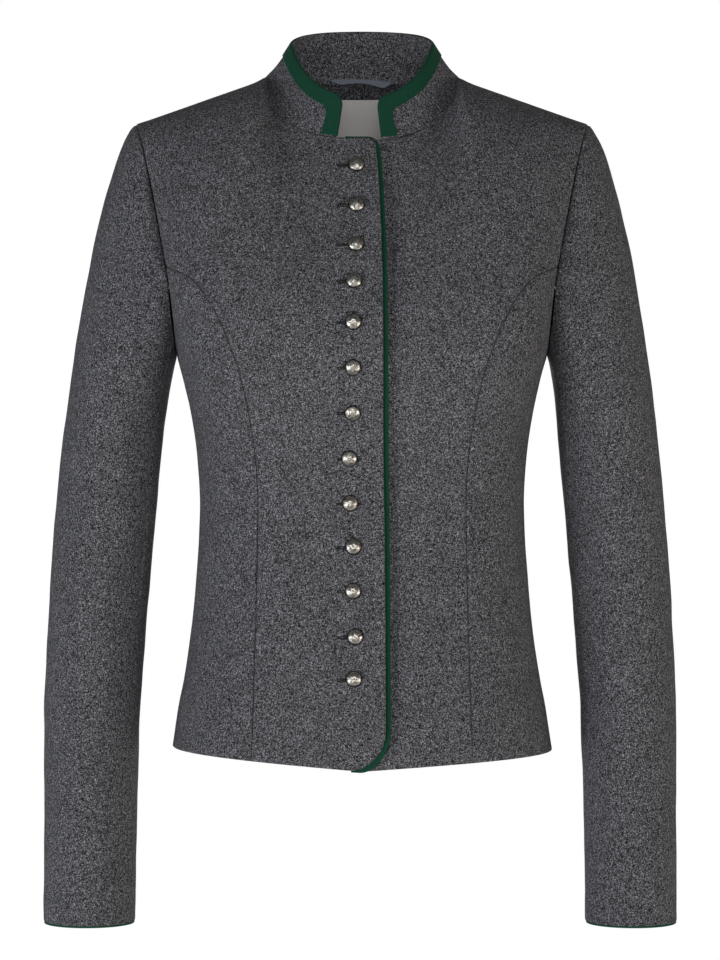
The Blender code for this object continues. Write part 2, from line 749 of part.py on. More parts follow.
def inside_pieces(back, normals):
    """The facing, the label and the hanger loop: each one's outer face, towards the back."""
    middle = back.shape[1] // 2
    last = back.shape[0] - 1
    steps = BACK_NECK_STEPS - 2
    depth = CLOTH + FACING_GAP
    low = row_at_height(back, middle, -FACING_DEPTH)
    rows = [low, last - 2, last - 1, last - FACING_TOP_GAP]
    facing = inside_face(back, normals, rows, [middle + k for k in range(-steps, steps + 1)], depth)

    depth += FACING_CLOTH + LAYER_GAP + FACET_SPARE
    top = row_at_height(back, middle, LABEL_TOP)
    bottom = row_at_height(back, middle, LABEL_TOP - LABEL_SIZE[1])
    rows = [bottom] + [r for r in (last - 2, last - 1) if bottom < r < top] + [top]
    pitch = abs(between(back, last - 1, middle + 1)[0])
    reach = 1 + (LABEL_SIZE[0] / 2 - pitch) / pitch
    label = inside_face(back, normals, rows, [middle + k for k in (-reach, -1, 0, 1, reach)], depth)

    pitch = back[-1, middle + 1, 0]
    reach = LOOP_LENGTH / 2 / abs(pitch)
    loop = []
    for z in (LOOP_FOOT, LOOP_FOOT + LOOP_WIDTH):
        row = []
        for k in (-reach, -1, 0, 1, reach):
            x, y, _ = between(back, last, middle + k)
            row.append(np.array([x, y - LOOP_INSET, z]))
        loop.append(row)
    return facing, label, np.array(loop)


# ---------------------------------------------------------------- solids
def grid_normals(grid, centre_of):
    """Unit vectors out of a grid's face, turned away from the centre that centre_of gives for a point."""
    rows, columns, _ = grid.shape
    normals = np.zeros_like(grid)
    for i in range(rows):
        for j in range(columns):
            up = grid[min(i + 1, rows - 1), j] - grid[max(i - 1, 0), j]
            along = grid[i, min(j + 1, columns - 1)] - grid[i, max(j - 1, 0)]
            normals[i, j] = unit(np.cross(along, up))
    i, j = rows // 2, columns // 2
    if np.dot(normals[i, j], grid[i, j] - centre_of(grid[i, j])) < 0:
        normals = -normals
    return normals


def body_centre(point):
    """The body's middle line at a point's height."""
    return np.array([0.0, 0.0, point[2] - 20.0])


def shared_normals(grids, normals):
    """Each grid's normals, averaged where grids share a point."""
    points = np.concatenate([grid.reshape(-1, 3) for grid in grids])
    ways = np.concatenate([part.reshape(-1, 3) for part in normals])
    mean = np.zeros_like(ways)
    for i, point in enumerate(points):
        same = np.abs(points - point).max(axis=1) < SEAM_GAP / 6
        mean[i] = unit(ways[same].sum(axis=0))
    sizes = np.cumsum([grid.shape[0] * grid.shape[1] for grid in grids])[:-1]
    return [part.reshape(grid.shape) for part, grid in zip(np.split(mean, sizes), grids)]


def draw_in(grid, edges):
    """Move a grid's seam edges in by half a seam gap; edges gives how many rows of the left or right one."""
    moved = grid.copy()
    for edge, count in edges.items():
        j, step = (0, 1) if edge == "left" else (grid.shape[1] - 1, -1)
        for i in range(count):
            moved[i, j] = moved[i, j] + unit(grid[i, j + step] - grid[i, j]) * SEAM_GAP / 2
    return moved


def make_mesh(name, points, faces, finish):
    """Put one closed solid into the scene, its faces turned outwards; points are in mm."""
    mesh = bpy.data.meshes.new(name)
    mesh.from_pydata([tuple(0.001 * c for c in p) for p in points], [], faces)
    shape = bmesh.new()
    shape.from_mesh(mesh)
    bmesh.ops.recalc_face_normals(shape, faces=shape.faces)
    if shape.calc_volume(signed=True) < 0:
        bmesh.ops.reverse_faces(shape, faces=shape.faces)
    shape.to_mesh(mesh)
    shape.free()
    colour, roughness, metallic = FINISHES[finish]
    material = bpy.data.materials.new(name)
    material.use_nodes = True
    shader = material.node_tree.nodes["Principled BSDF"]
    shader.inputs["Base Color"].default_value = (*[c**2.2 for c in colour], 1.0)
    shader.inputs["Roughness"].default_value = roughness
    shader.inputs["Metallic"].default_value = metallic
    mesh.materials.append(material)
    mesh.shade_smooth()
    mesh.set_sharp_from_angle(angle=math.radians(SHARP_ANGLE))
    body = bpy.data.objects.new(name, mesh)
    bpy.context.scene.collection.objects.link(body)


def wall(name, outer, inward, finish):
    """A cloth wall: its outer face is a grid of points, its inner face lies at the inward vectors from it."""
    rows, columns, _ = outer.shape
    points = [p for row in outer for p in row] + [p for row in outer + inward for p in row]
    half = rows * columns

    def at(i, j, inner):
        """The number of a grid point, on the outer or the inner face."""
        return i * columns + j + (half if inner else 0)

    faces = []
    for i in range(rows - 1):
        for j in range(columns - 1):
            for inner in (False, True):
                faces.append((at(i, j, inner), at(i, j + 1, inner), at(i + 1, j + 1, inner)))
                faces.append((at(i, j, inner), at(i + 1, j + 1, inner), at(i + 1, j, inner)))

    def rank(place):
        """A number that puts an edge's two ends in the same order on both sides of a seam."""
        return outer[place][2] + abs(outer[place][0]) / 3

    def edge(first, second):
        """Two triangles of an edge's wall, split the same way on both sides of a seam."""
        low, high = sorted((first, second), key=rank)
        faces.append((at(*low, False), at(*high, False), at(*high, True)))
        faces.append((at(*low, False), at(*high, True), at(*low, True)))

    for j in range(columns - 1):
        for i in (0, rows - 1):
            edge((i, j), (i, j + 1))
    for i in range(rows - 1):
        for j in (0, columns - 1):
            edge((i, j), (i + 1, j))
    make_mesh(name, points, faces, finish)


def sweep(name, path, out, inward, section, finish, closed=False):
    """A cord of one section along a path; each section point is a distance out and a distance inward."""
    count = len(section)
    points = []
    for p, o, n in zip(path, out, inward):
        points += [p + o * a + n * b for a, b in section]
    faces = []
    steps = len(path) if closed else len(path) - 1
    for i in range(steps):
        k = (i + 1) % len(path)
        for j in range(count):
            m = (j + 1) % count
            faces.append((i * count + j, i * count + m, k * count + m, k * count + j))
    if not closed:
        faces.append(tuple(range(count)))
        faces.append(tuple(range((len(path) - 1) * count, len(path) * count)))
    make_mesh(name, points, faces, finish)


def mirror(grid):
    """The same grid on the other side of the body."""
    return grid * np.array([-1.0, 1.0, 1.0])


# ---------------------------------------------------------------- building
def build_body():
    """The panels of the body, and the right front's outer grid for its piping."""
    loop = armhole_loop()
    _, inward = loop_frame(loop)
    yoke_rows = len(ROWS) - 1
    high = len(RISES) - 1
    reach = CLOTH * ARMHOLE_WALL

    def armhole_column(vectors, side, back):
        """Turn a panel's wall along the armhole's own direction where it meets the sleeve."""
        turned = inward * np.array([side, 1.0, 1.0]) * reach
        for step in range(high + 1):
            k = (len(loop) - high + step) % len(loop) if back else high - step
            vectors[yoke_rows + step, 0 if back and side < 0 else -1] = turned[k]

    angles = FRONT_NECK_ANGLES
    right_grid = front_grid(lambda h: -front_edge(h), RIGHT_OFFSETS, angles, HEM_CORNER, TOP_CORNER, -1.0)
    left_grid = front_grid(lambda h: UNDERLAP_EDGE, LEFT_OFFSETS, angles[1:], 0.0, 0.0, 1.0)
    panels = [
        ("front_right", mirror(right_grid), {"right": len(ROWS)}),
        ("front_left", left_grid, {"right": len(ROWS)}),
        ("back", back_grid(), SIDE_SEAMS),
    ]
    for which, line, turn, turn_range in (
        ("front", front_princess, ARMHOLE_TURN, (10.0, 85.0)),
        ("back", back_princess, BACK_ARMHOLE_TURN, (95.0, 175.0)),
    ):
        panels.append((f"side_{which}_right", mirror(side_grid(line, turn, turn_range, -1.0)), SIDE_SEAMS))
        panels.append((f"side_{which}_left", side_grid(line, turn, turn_range, 1.0), SIDE_SEAMS))

    own = [grid_normals(grid, body_centre) for _, grid, _ in panels]
    shared = shared_normals([grid for _, grid, _ in panels], own)
    for (name, grid, edges), normals, mean in zip(panels, own, shared):
        outer = draw_in(grid, edges)
        if name in ("front_right", "front_left", "back"):
            for j in range(grid.shape[1]):
                if abs(grid[-1, j, 0]) > NECK_HALF_WIDTH - 0.01:
                    outer[-1, j] = outer[-1, j] + unit(grid[-2, j] - grid[-1, j]) * SEAM_GAP / 2
        if name == "front_left":
            for i in range(grid.shape[0]):
                for j in range(grid.shape[1]):
                    outer[i, j] = outer[i, j] - mean[i, j] * lap_depth(grid[i, j, 0], grid[i, j, 1])
        level = np.clip(np.sum(normals * mean, axis=2), 0.8, 1.0)[..., None]
        vectors = -mean * CLOTH / level
        if name == "back":
            armhole_column(vectors, 1.0, True)
            armhole_column(vectors, -1.0, True)
        elif name in ("front_right", "front_left"):
            armhole_column(vectors, -1.0 if name == "front_right" else 1.0, False)
        else:
            side = -1.0 if name.endswith("right") else 1.0
            for j in range(ARMHOLE_STEPS + 1):
                k = high + j if "front" in name else (len(loop) - high - j) % len(loop)
                vectors[-1, j] = inward[k] * np.array([side, 1.0, 1.0]) * reach
        wall(name, outer, vectors, "loden")
    return panels[0][1], panels[2][1]


def piping_section(table, width):
    """A piping's section at its full width, clear of the edge that it runs along."""
    return [(SEAM_GAP + FACET_SPARE + share * width, inward) for share, inward in table]


def build_piping(front):
    """The green piping on the right front's free edge, from its top edge down and round the hem corner."""
    normals = grid_normals(front, body_centre)
    edge = []
    for j in (5, 4, 3, 2, 1):
        if front[-1, j, 0] < COLLAR_END[0] + 3.0:
            continue
        edge.append((front[-1, j], normals[-1, j], unit(front[-1, j] - front[-2, j])))
    corner = unit(unit(front[-1, 0] - front[-2, 0]) + unit(front[-1, 0] - front[-1, 1]))
    edge.append((front[-1, 0], normals[-1, 0], corner))
    for i in range(front.shape[0] - 2, 0, -1):
        edge.append((front[i, 0], normals[i, 0], unit(front[i, 0] - front[i, 1])))
    for j in range(0, 5):
        along = unit(front[0, j + 1] - front[0, max(j - 1, 0)])
        out = unit(np.cross(along, normals[0, j]))
        if np.dot(out, front[0, j] - front[1, j]) < 0:
            out = -out
        edge.append((front[0, j], normals[0, j], out))
    path = [point for point, _, _ in edge]
    out = [unit(way - normal * np.dot(way, normal)) for _, normal, way in edge]
    inward = [-normal for _, normal, _ in edge]
    sweep("front_piping", path, out, inward, piping_section(PIPING_SECTION, PIPING_WIDTH), "green_felt")


def build_sleeves():
    """The two-piece sleeves and the piping at their cuffs."""
    _, inward = loop_frame(armhole_loop())
    front_seam, back_seam = UNDER_SLEEVE_COLUMNS
    for name, side in (("right", -1.0), ("left", 1.0)):
        grid = sleeve_grid()
        count = grid.shape[1]
        centres = grid.mean(axis=1)
        normals = np.zeros_like(grid)
        for i in range(grid.shape[0]):
            for k in range(count):
                up = grid[min(i + 1, len(grid) - 1), k] - grid[max(i - 1, 0), k]
                along = grid[i, (k + 1) % count] - grid[i, k - 1]
                normal = unit(np.cross(along, up))
                normals[i, k] = normal if np.dot(normal, grid[i, k] - centres[i]) > 0 else -normal
        vectors = -normals * CLOTH
        vectors[0] = inward * CLOTH * ARMHOLE_WALL
        pieces = (
            ("under_sleeve", list(range(front_seam, back_seam + 1))),
            ("upper_sleeve", list(range(back_seam, count)) + list(range(0, front_seam + 1))),
        )
        for piece, columns in pieces:
            outer = draw_in(grid[:, columns], {"left": len(grid), "right": len(grid)})
            push = vectors[:, columns]
            if side < 0:
                outer, push = mirror(outer), mirror(push)
            wall(f"{piece}_{name}", outer, push, "loden")
        cuff = grid[-1]
        down = np.array([0.0, 0.0, -1.0])
        flip = np.array([side, 1.0, 1.0])
        sweep(
            f"cuff_piping_{name}",
            [p * flip for p in cuff],
            [down] * count,
            [-unit(n * np.array([1.0, 1.0, 0.0])) * flip for n in normals[-1]],
            piping_section(CUFF_PIPING_SECTION, CUFF_PIPING_WIDTH),
            "green_felt",
            closed=True,
        )


def build_collar(back):
    """The collar, its band and the pieces inside the back neck."""
    grid = collar_grid()
    wall("collar", grid, -grid_normals(grid, body_centre) * COLLAR_CLOTH, "loden")
    band = band_grid()
    wall("collar_band", band, -grid_normals(band, body_centre) * BAND_CLOTH, "green_felt")
    facing, label, loop = inside_pieces(back, grid_normals(back, body_centre))
    for name, face, thickness, finish in (
        ("back_neck_facing", facing, FACING_CLOTH, "loden_inside"),
        ("label", label, LABEL_CLOTH, "label_weave"),
        ("hanger_loop", loop, LOOP_CLOTH, "loop_braid"),
    ):
        wall(name, face, -grid_normals(face, body_centre) * thickness, finish)


def front_place(front, x, z):
    """The point and the way out of the right front's facets at a given x and height."""
    best = None
    for i in range(front.shape[0] - 1):
        for j in range(front.shape[1] - 1):
            cell = front[i : i + 2, j : j + 2]
            a, b = 0.5, 0.5
            for _ in range(8):
                point = between(cell, a, b)
                da = (1 - b) * (cell[1, 0] - cell[0, 0]) + b * (cell[1, 1] - cell[0, 1])
                db = (1 - a) * (cell[0, 1] - cell[0, 0]) + a * (cell[1, 1] - cell[1, 0])
                matrix = np.array([[da[0], db[0]], [da[2], db[2]]])
                step = np.linalg.solve(matrix, np.array([x - point[0], z - point[2]]))
                a, b = a + step[0], b + step[1]
                if not (-2 < a < 3 and -2 < b < 3):
                    break
            miss = max(0 - a, a - 1, 0 - b, b - 1)
            if best is None or miss < best[0]:
                normal = unit(np.cross(da, db))
                best = (miss, point, normal if normal[1] < 0 else -normal)
    return best[1], best[2]


def build_buttons(front):
    """The domed buttons standing on the right front."""
    sides = BUTTON_SIDES
    for number, (z, x) in enumerate(BUTTONS, start=1):
        point, axis = front_place(front, x, z)
        across = unit(np.cross(axis, np.array([0.0, 0.0, 1.0])))
        up = np.cross(across, axis)
        points = []
        for radius, height in BUTTON_PROFILE:
            for k in range(sides):
                a = 2 * math.pi * k / sides
                spread = across * math.cos(a) * radius + up * math.sin(a) * radius
                points.append(point + axis * (LAYER_GAP + height) + spread)
        faces = [tuple(range(sides))]
        for ring in range(len(BUTTON_PROFILE) - 1):
            for k in range(sides):
                m = (k + 1) % sides
                low, high = ring * sides, (ring + 1) * sides
                faces.append((low + k, low + m, high + m, high + k))
        faces.append(tuple(range((len(BUTTON_PROFILE) - 1) * sides, len(BUTTON_PROFILE) * sides)))
        make_mesh(f"button_{number:02d}", points, faces, "old_silver")


def main():
    """Clear the scene and build every piece."""
    for old in list(bpy.data.objects):
        bpy.data.objects.remove(old)
    front, back = build_body()
    build_piping(front)
    build_sleeves()
    build_collar(back)
    build_buttons(front)


main()
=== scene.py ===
"""Tyrolean loden jacket: the look of every piece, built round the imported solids.

Lengths in the classes are millimetres and the meshes are metres, in the frame of the solids: +Z up,
the wearer faces -Y, +X is the wearer's left, and the origin lies midway between the points where the
shoulder seams meet the neckline. Each piece of cloth is a thin sheet on the form of its solid, with
rolled seam edges and soft creases.
"""

import logging
import math
from collections.abc import Callable, Sequence
from dataclasses import dataclass, field
from enum import Enum

import bpy
import numpy as np
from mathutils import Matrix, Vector
from mathutils.kdtree import KDTree


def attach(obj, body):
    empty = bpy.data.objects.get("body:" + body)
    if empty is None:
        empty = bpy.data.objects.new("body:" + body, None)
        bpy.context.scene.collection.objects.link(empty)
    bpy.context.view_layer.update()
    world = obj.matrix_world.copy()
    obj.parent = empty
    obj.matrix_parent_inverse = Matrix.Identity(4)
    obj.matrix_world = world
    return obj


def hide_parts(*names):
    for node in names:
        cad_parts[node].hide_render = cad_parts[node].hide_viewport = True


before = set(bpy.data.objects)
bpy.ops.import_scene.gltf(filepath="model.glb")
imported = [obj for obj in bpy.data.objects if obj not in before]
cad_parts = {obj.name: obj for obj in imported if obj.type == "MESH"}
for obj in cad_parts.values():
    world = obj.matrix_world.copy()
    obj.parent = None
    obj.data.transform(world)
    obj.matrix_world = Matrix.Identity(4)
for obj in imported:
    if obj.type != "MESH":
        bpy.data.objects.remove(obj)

Array = np.ndarray
Piece = bpy.types.Object
Rows = Sequence[tuple[float, ...]]
LOG = logging.getLogger("jacket")
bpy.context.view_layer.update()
MM = 0.001
BODY = "root"
BISECTIONS = 40
CLOSE_STEPS = np.array([0.25, 0.6, 1.05, 1.65, 2.5, 3.8])  # places near a rolled edge, mm from it
TURN_STEP, HEIGHT_STEP, RISE_STEP = 0.4, 0.5, 0.004  # small steps that find the way out of the body's form
EDGE_REACH = 40.0  # the front edges lie within this turn of the centre front


# ---- numbers and curves
def ramp(t: Array | float) -> Array:
    """A ramp from 0 to 1 that starts and ends level, at t held to 0 to 1."""
    t = np.clip(t, 0.0, 1.0)
    return t * t * (3.0 - 2.0 * t)


def unit(vectors: Array) -> Array:
    """The vectors at length one, along the last axis."""
    return vectors / np.maximum(np.linalg.norm(vectors, axis=-1, keepdims=True), 1e-9)


def hermite(start: Array, leave: Array, end: Array, arrive: Array, t: Array) -> Array:
    """A cubic from one value to another that leaves and arrives along two slopes, at t from 0 to 1."""
    first = (1 + 2 * t) * (1 - t) ** 2 * start + t * (1 - t) ** 2 * leave
    return first + t * t * (3 - 2 * t) * end + t * t * (t - 1) * arrive


def crossing(function: Callable[[Array], Array], low: Array, high: Array) -> Array:
    """Where a rising or falling function crosses zero, for many unknowns at once.

    Args:
        function: Takes an array of arguments and gives an array of values.
        low: Lowest arguments.
        high: Highest arguments.

    Returns:
        The arguments at which the function is zero.
    """
    low, high = np.array(low, float), np.array(high, float)
    rising = function(high) > function(low)
    for _ in range(BISECTIONS):
        middle = 0.5 * (low + high)
        above = (function(middle) > 0) == rising
        high = np.where(above, middle, high)
        low = np.where(above, low, middle)
    return 0.5 * (low + high)


def wrapped(turn: Array | float) -> Array:
    """Angles in degrees brought between -180 and 180."""
    return np.mod(np.asarray(turn, float) + 180.0, 360.0) - 180.0


def facing(surface: Callable[[Array, Array], Array], a: Array, b: Array, da: float, db: float) -> Array:
    """Unit vectors square to a surface, found by small steps, da and db, of its two places, a and b."""
    along = surface(a + da, b) - surface(a - da, b)
    return unit(np.cross(along, surface(a, b + db) - surface(a, b - db)))


def lengths(line: Array) -> Array:
    """The distance along a line of points to each of them, from 0."""
    return np.concatenate([[0.0], np.cumsum(np.linalg.norm(np.diff(line, axis=0), axis=1))])


def read_off(line: Array, length: Array, places: Array) -> Array:
    """The x, y and z of a line, whose points lie at the given lengths, at places along it."""
    return np.stack([np.interp(places, length, line[:, k]) for k in range(3)], axis=-1)


def distances(points: Array, line: Array, spacing: float = 0.12) -> Array:
    """How far each point is from a line of points, mm.

    Args:
        points: Points in any arrangement.
        line: The line's points in order.
        spacing: How closely the line is sampled.

    Returns:
        Distances in the same arrangement.
    """
    length = lengths(line)
    even = np.linspace(0.0, length[-1], int(length[-1] / spacing) + 2)
    samples = read_off(line, length, even)
    tree = KDTree(len(samples))
    for index, sample in enumerate(samples.tolist()):
        tree.insert(sample, index)
    tree.balance()
    found = np.array([tree.find(point)[2] for point in points.reshape(-1, 3).tolist()])
    return found.reshape(points.shape[:-1])


def shares(length: float, pitch: float, start: bool = True, end: bool = True) -> Array:
    """Places from 0 to 1 along an edge, close together at the ends where the cloth rolls over.

    Args:
        length: The edge's length.
        pitch: Spacing in the middle.
        start: Whether the places close up towards 0.
        end: Whether they close up towards 1.

    Returns:
        The places, with 0 and 1.
    """
    first = CLOSE_STEPS[-1] if start else 0.0
    last = length - (CLOSE_STEPS[-1] if end else 0.0)
    middle = np.linspace(first, last, max(3, int(round((last - first) / pitch)) + 1))
    parts = [CLOSE_STEPS[:-1] if start else [], middle, length - CLOSE_STEPS[:-1][::-1] if end else []]
    places = np.concatenate([[0.0], *parts, [length]]) / length
    return np.unique(np.clip(places, 0.0, 1.0).round(9))


def corner_cut(distance: Array, radius: float) -> Array:
    """How much a corner rounded to a radius takes off, at distances from it, mm."""
    inside = np.clip(radius - distance, 0.0, radius)
    return radius - np.sqrt(radius**2 - inside**2)


class Column:
    """A smooth function of height through one column of a table, with no overshoot between its rows."""

    def __init__(self, rows: Rows, index: int = 1) -> None:
        """Fit the slopes.

        Args:
            rows: The table; its first column is the height.
            index: The column wanted.
        """
        table = np.array(sorted(rows), dtype=float)
        self.x, self.y = table[:, 0], table[:, index]
        step = np.diff(self.x)
        secant = np.diff(self.y) / step
        self.slope = np.zeros_like(self.y)
        for i in range(1, len(self.x) - 1):
            if secant[i - 1] * secant[i] > 0:
                w1, w2 = 2 * step[i] + step[i - 1], step[i] + 2 * step[i - 1]
                self.slope[i] = (w1 + w2) / (w1 / secant[i - 1] + w2 / secant[i])
        self.slope[0], self.slope[-1] = secant[0], secant[-1]

    def __call__(self, height: Array | float) -> Array:
        """The column's value.

        Args:
            height: Heights, held to the table's range.

        Returns:
            The values there.
        """
        h = np.clip(height, self.x[0], self.x[-1])
        i = np.clip(np.searchsorted(self.x, h) - 1, 0, len(self.x) - 2)
        step = self.x[i + 1] - self.x[i]
        t = (h - self.x[i]) / step
        return hermite(self.y[i], step * self.slope[i], self.y[i + 1], step * self.slope[i + 1], t)


# ---- the body's form
@dataclass(frozen=True)
class BodyForm:
    """The surface that the body panels lie on: sections below the yoke line, and columns above it.

    A turn is the angle round the body in degrees, 0 at the centre front, 90 at the wearer's left side,
    180 at the centre back and negative on the wearer's right.
    """

    yoke: float = -158.0
    armpit: float = -226.0
    hem: float = -549.0
    hem_front_drop: float = 12.0
    hem_drop_power: float = 1.15
    hem_tilt: float = 1.5
    armhole_turn: float = 65.5
    back_armhole_turn: float = 115.0
    neck_turn: float = 27.0
    back_neck_turn: float = 152.0
    neck_half_width: float = 78.0
    neck_depth: float = 62.0
    neck_crest: float = 6.0
    neck_front_fall: float = 54.0
    neck_fall_power: float = 1.3
    neck_back_rise: float = 1.0
    shoulder_tip: tuple[float, float, float] = (186.0, 8.0, -38.0)
    front_neck_tilt: float = 27.0
    back_neck_tilt: float = 16.0
    shoulder_tilt: float = 82.0
    tilt_power: float = 2.2
    shoulder_lean: float = 0.10
    leave: float = 1.12
    arrive: float = 1.05
    front_length: float = 112.0
    armhole_rises: tuple[float, ...] = (0.0, 0.14, 0.28, 0.42, 0.56, 0.70, 0.85, 1.0)
    armhole_bend: float = 18.0  # degrees from one numbered point of its lower part to the next
    #  height  half_width  front_depth  back_depth  front_fullness  back_fullness
    sections: Rows = (
        (-590, 164, 107, 101, 0.15, 0.12), (-549, 155.2, 104, 98, 0.15, 0.12),
        (-512, 149.6, 101, 93, 0.15, 0.12), (-493, 145.7, 99, 90, 0.15, 0.11),
        (-447, 139, 95.5, 82, 0.14, 0.11), (-410, 135.6, 93, 75, 0.14, 0.10),
        (-375, 133.3, 91, 69.5, 0.14, 0.10), (-347, 132.5, 91, 67, 0.15, 0.11),
        (-322, 133.7, 94, 68.5, 0.18, 0.13), (-297, 136.2, 100, 72.5, 0.22, 0.15),
        (-269, 140.9, 110, 78.5, 0.27, 0.18), (-250, 145.2, 116.5, 83, 0.30, 0.20),
        (-226, 151.3, 120.5, 88, 0.33, 0.22), (-205, 154.8, 119.5, 91, 0.34, 0.23),
        (-184, 159, 115, 93, 0.34, 0.24), (-158, 164.3, 106.5, 94, 0.33, 0.25),
        (-148, 166.2, 102.5, 94, 0.33, 0.25),
    )
    columns: dict[str, Column] = field(default_factory=dict)

    def __post_init__(self) -> None:
        """Turn the table of sections into smooth functions of height."""
        names = ("half_width", "front_depth", "back_depth", "front_full", "back_full")
        for index, name in enumerate(names, 1):
            self.columns[name] = Column(self.sections, index)

    def below(self, turn: Array, height: Array) -> Array:
        """Points of the body below the yoke line.

        Args:
            turn: Angles round the body.
            height: Heights.

        Returns:
            The points.
        """
        turn, height = np.broadcast_arrays(wrapped(turn), np.asarray(height, float))
        s, c = np.sin(np.radians(np.abs(turn))), np.cos(np.radians(turn))
        front = c >= 0
        depth = np.where(front, self.columns["front_depth"](height), self.columns["back_depth"](height))
        full = np.where(front, self.columns["front_full"](height), self.columns["back_full"](height))
        x = np.copysign(self.columns["half_width"](height) * s * (1 + full * c * c), turn)
        return np.stack([x, -depth * c * (1 + full * s * s), height], axis=-1)

    def neckline(self, angle: Array) -> Array:
        """Points of the neckline.

        Args:
            angle: 0 at the centre front, 90 at the left shoulder, 180 at the centre back.

        Returns:
            The points.
        """
        s, c = np.sin(np.radians(angle)), np.cos(np.radians(angle))
        fall = -self.neck_front_fall * (1 - (1 - np.clip(c, 0, 1)) ** self.neck_fall_power)
        y = -self.neck_depth * c + self.neck_crest * (1 - c * c)
        z = np.where(c >= 0, fall, -self.neck_back_rise * c)
        return np.stack([self.neck_half_width * s, y, z], axis=-1)

    def shoulder(self, share: Array) -> Array:
        """Points of the wearer's left shoulder seam.

        Args:
            share: 0 at the neckline, 1 at the armhole.

        Returns:
            The points.
        """
        start = self.neckline(np.array(90.0))
        share = np.asarray(share, float)[..., None]
        return start + share * (np.array(self.shoulder_tip) - start)

    def top(self, turn: Array) -> tuple[Array, Array]:
        """The tops of columns of the yoke, and the ways they arrive there.

        Args:
            turn: The columns' turns.

        Returns:
            Points on the neckline or the shoulder seam, and unit vectors.
        """
        turn = wrapped(turn)
        side = np.abs(turn)
        front = side <= 90.0
        share = np.where(
            front,
            (side - self.neck_turn) / (self.armhole_turn - self.neck_turn),
            (self.back_neck_turn - side) / (self.back_neck_turn - self.back_armhole_turn),
        )
        facing = np.where(front, 1.0, -1.0)
        away = np.where(
            front, side * 90.0 / self.neck_turn, (180.0 - side) * 90.0 / (180.0 - self.back_neck_turn)
        )
        angle = np.copysign(np.where(front, away, 180.0 - away), turn)
        middle = np.where(front, self.front_neck_tilt, self.back_neck_tilt)
        lift = np.clip(away / 90.0, 0.0, 1.0) ** self.tilt_power
        tilt = np.radians(middle + (self.shoulder_tilt - middle) * lift)
        at_neck = self.neckline(angle)
        neck_way = np.stack([0.0 * tilt, facing * np.sin(tilt), np.cos(tilt)], axis=-1)
        on_shoulder = np.clip(share, 0.0, 1.0)
        at_shoulder = self.shoulder(on_shoulder)
        at_shoulder[..., 0] = np.copysign(at_shoulder[..., 0], turn)
        lean = np.copysign(self.shoulder_lean * on_shoulder, turn)
        rise = math.cos(math.radians(self.shoulder_tilt)) * (1 - on_shoulder)
        shoulder_way = unit(np.stack([lean, facing, rise], axis=-1))
        neck = (share <= 0)[..., None]
        return np.where(neck, at_neck, at_shoulder), np.where(neck, neck_way, shoulder_way)

    def above(self, turn: Array, rise: Array) -> Array:
        """Points of the body between the yoke line and the neckline or shoulder seam.

        Args:
            turn: Angles round the body.
            rise: 0 at the yoke line, 1 at the top.

        Returns:
            The points.
        """
        turn, rise = np.broadcast_arrays(np.asarray(turn, float), np.asarray(rise, float))
        start = self.below(turn, self.yoke)
        along = self.below(turn, self.yoke + 2.0) - self.below(turn, self.yoke - 2.0)
        end, arrive = self.top(turn)
        reach = np.linalg.norm(end - start, axis=-1, keepdims=True)
        leave, arrive = unit(along) * reach * self.leave, arrive * reach * self.arrive
        return hermite(start, leave, end, arrive, rise[..., None])

    def panel(self, turn: Array, height: Array, top_turn: Array, rise: Array) -> tuple[Array, Array]:
        """A panel's points from the hem to its top, and the ways out of it.

        Args:
            turn: Turns of its points below the yoke line.
            height: Their heights.
            top_turn: Turns of its points above the line.
            rise: Their rises.

        Returns:
            Points and unit vectors.
        """
        low = facing(self.below, turn, height, TURN_STEP, HEIGHT_STEP)
        high = facing(self.above, top_turn, rise, TURN_STEP, RISE_STEP)
        return np.vstack([self.below(turn, height), self.above(top_turn, rise)]), np.vstack([low, high])

    def hem_height(self, turn: Array) -> Array:
        """The hem, lowest at the centre front and a little lower on the wearer's left.

        Args:
            turn: Angles round the body.

        Returns:
            Heights.
        """
        s = np.sin(np.radians(turn))
        drop = self.hem_front_drop * (1 - np.abs(s)) ** self.hem_drop_power
        return self.hem - np.where(np.abs(turn) < 90.0, drop, 0.0) - self.hem_tilt * s

    def seam(
        self, line: Column, armhole_turn: float, reach: tuple[float, float], v: Array, tilt: float
    ) -> Array:
        """A princess seam from the hem to the armhole.

        Args:
            line: Its distance from the middle, by height.
            armhole_turn: Where it ends in the armhole.
            reach: Lowest and highest turn of its panel.
            v: Places along it, 0 at the hem.
            tilt: 1 on the wearer's left, -1 on the right.

        Returns:
            Turn and height for each place.
        """
        foot = crossing(lambda t: self.below(t, self.hem)[..., 0] - line(self.hem), *map(np.array, reach))
        heights = np.linspace(float(self.hem_height(tilt * foot)), self.yoke, 400)
        widths = line(heights)
        length = np.concatenate([[0.0], np.cumsum(np.hypot(np.diff(heights), np.diff(widths)))])
        at = np.interp(v * length[-1], length, heights)
        low, high = np.full_like(at, reach[0]), np.full_like(at, reach[1])
        turn = crossing(lambda t: self.below(t, at)[..., 0] - line(at), low, high)
        turn[-1] = armhole_turn
        return np.stack([turn, at], axis=-1)

    def armhole(self) -> "ClosedCurve":
        """The left armhole: down the front from the shoulder tip, under the arm and up the back.

        Returns:
            The armhole, with numbered points that the sleeve's rings are turned to.
        """
        steps, bend = self.armhole_rises, self.armhole_bend

        def low(turn: float, angle: Array) -> Array:
            """Points of the lower part, angle 90 at the yoke line and 0 under the arm."""
            a = np.radians(angle)
            at = self.yoke - (self.yoke - self.armpit) * np.cos(a)
            return self.below(90.0 + (turn - 90.0) * np.sin(a), at)

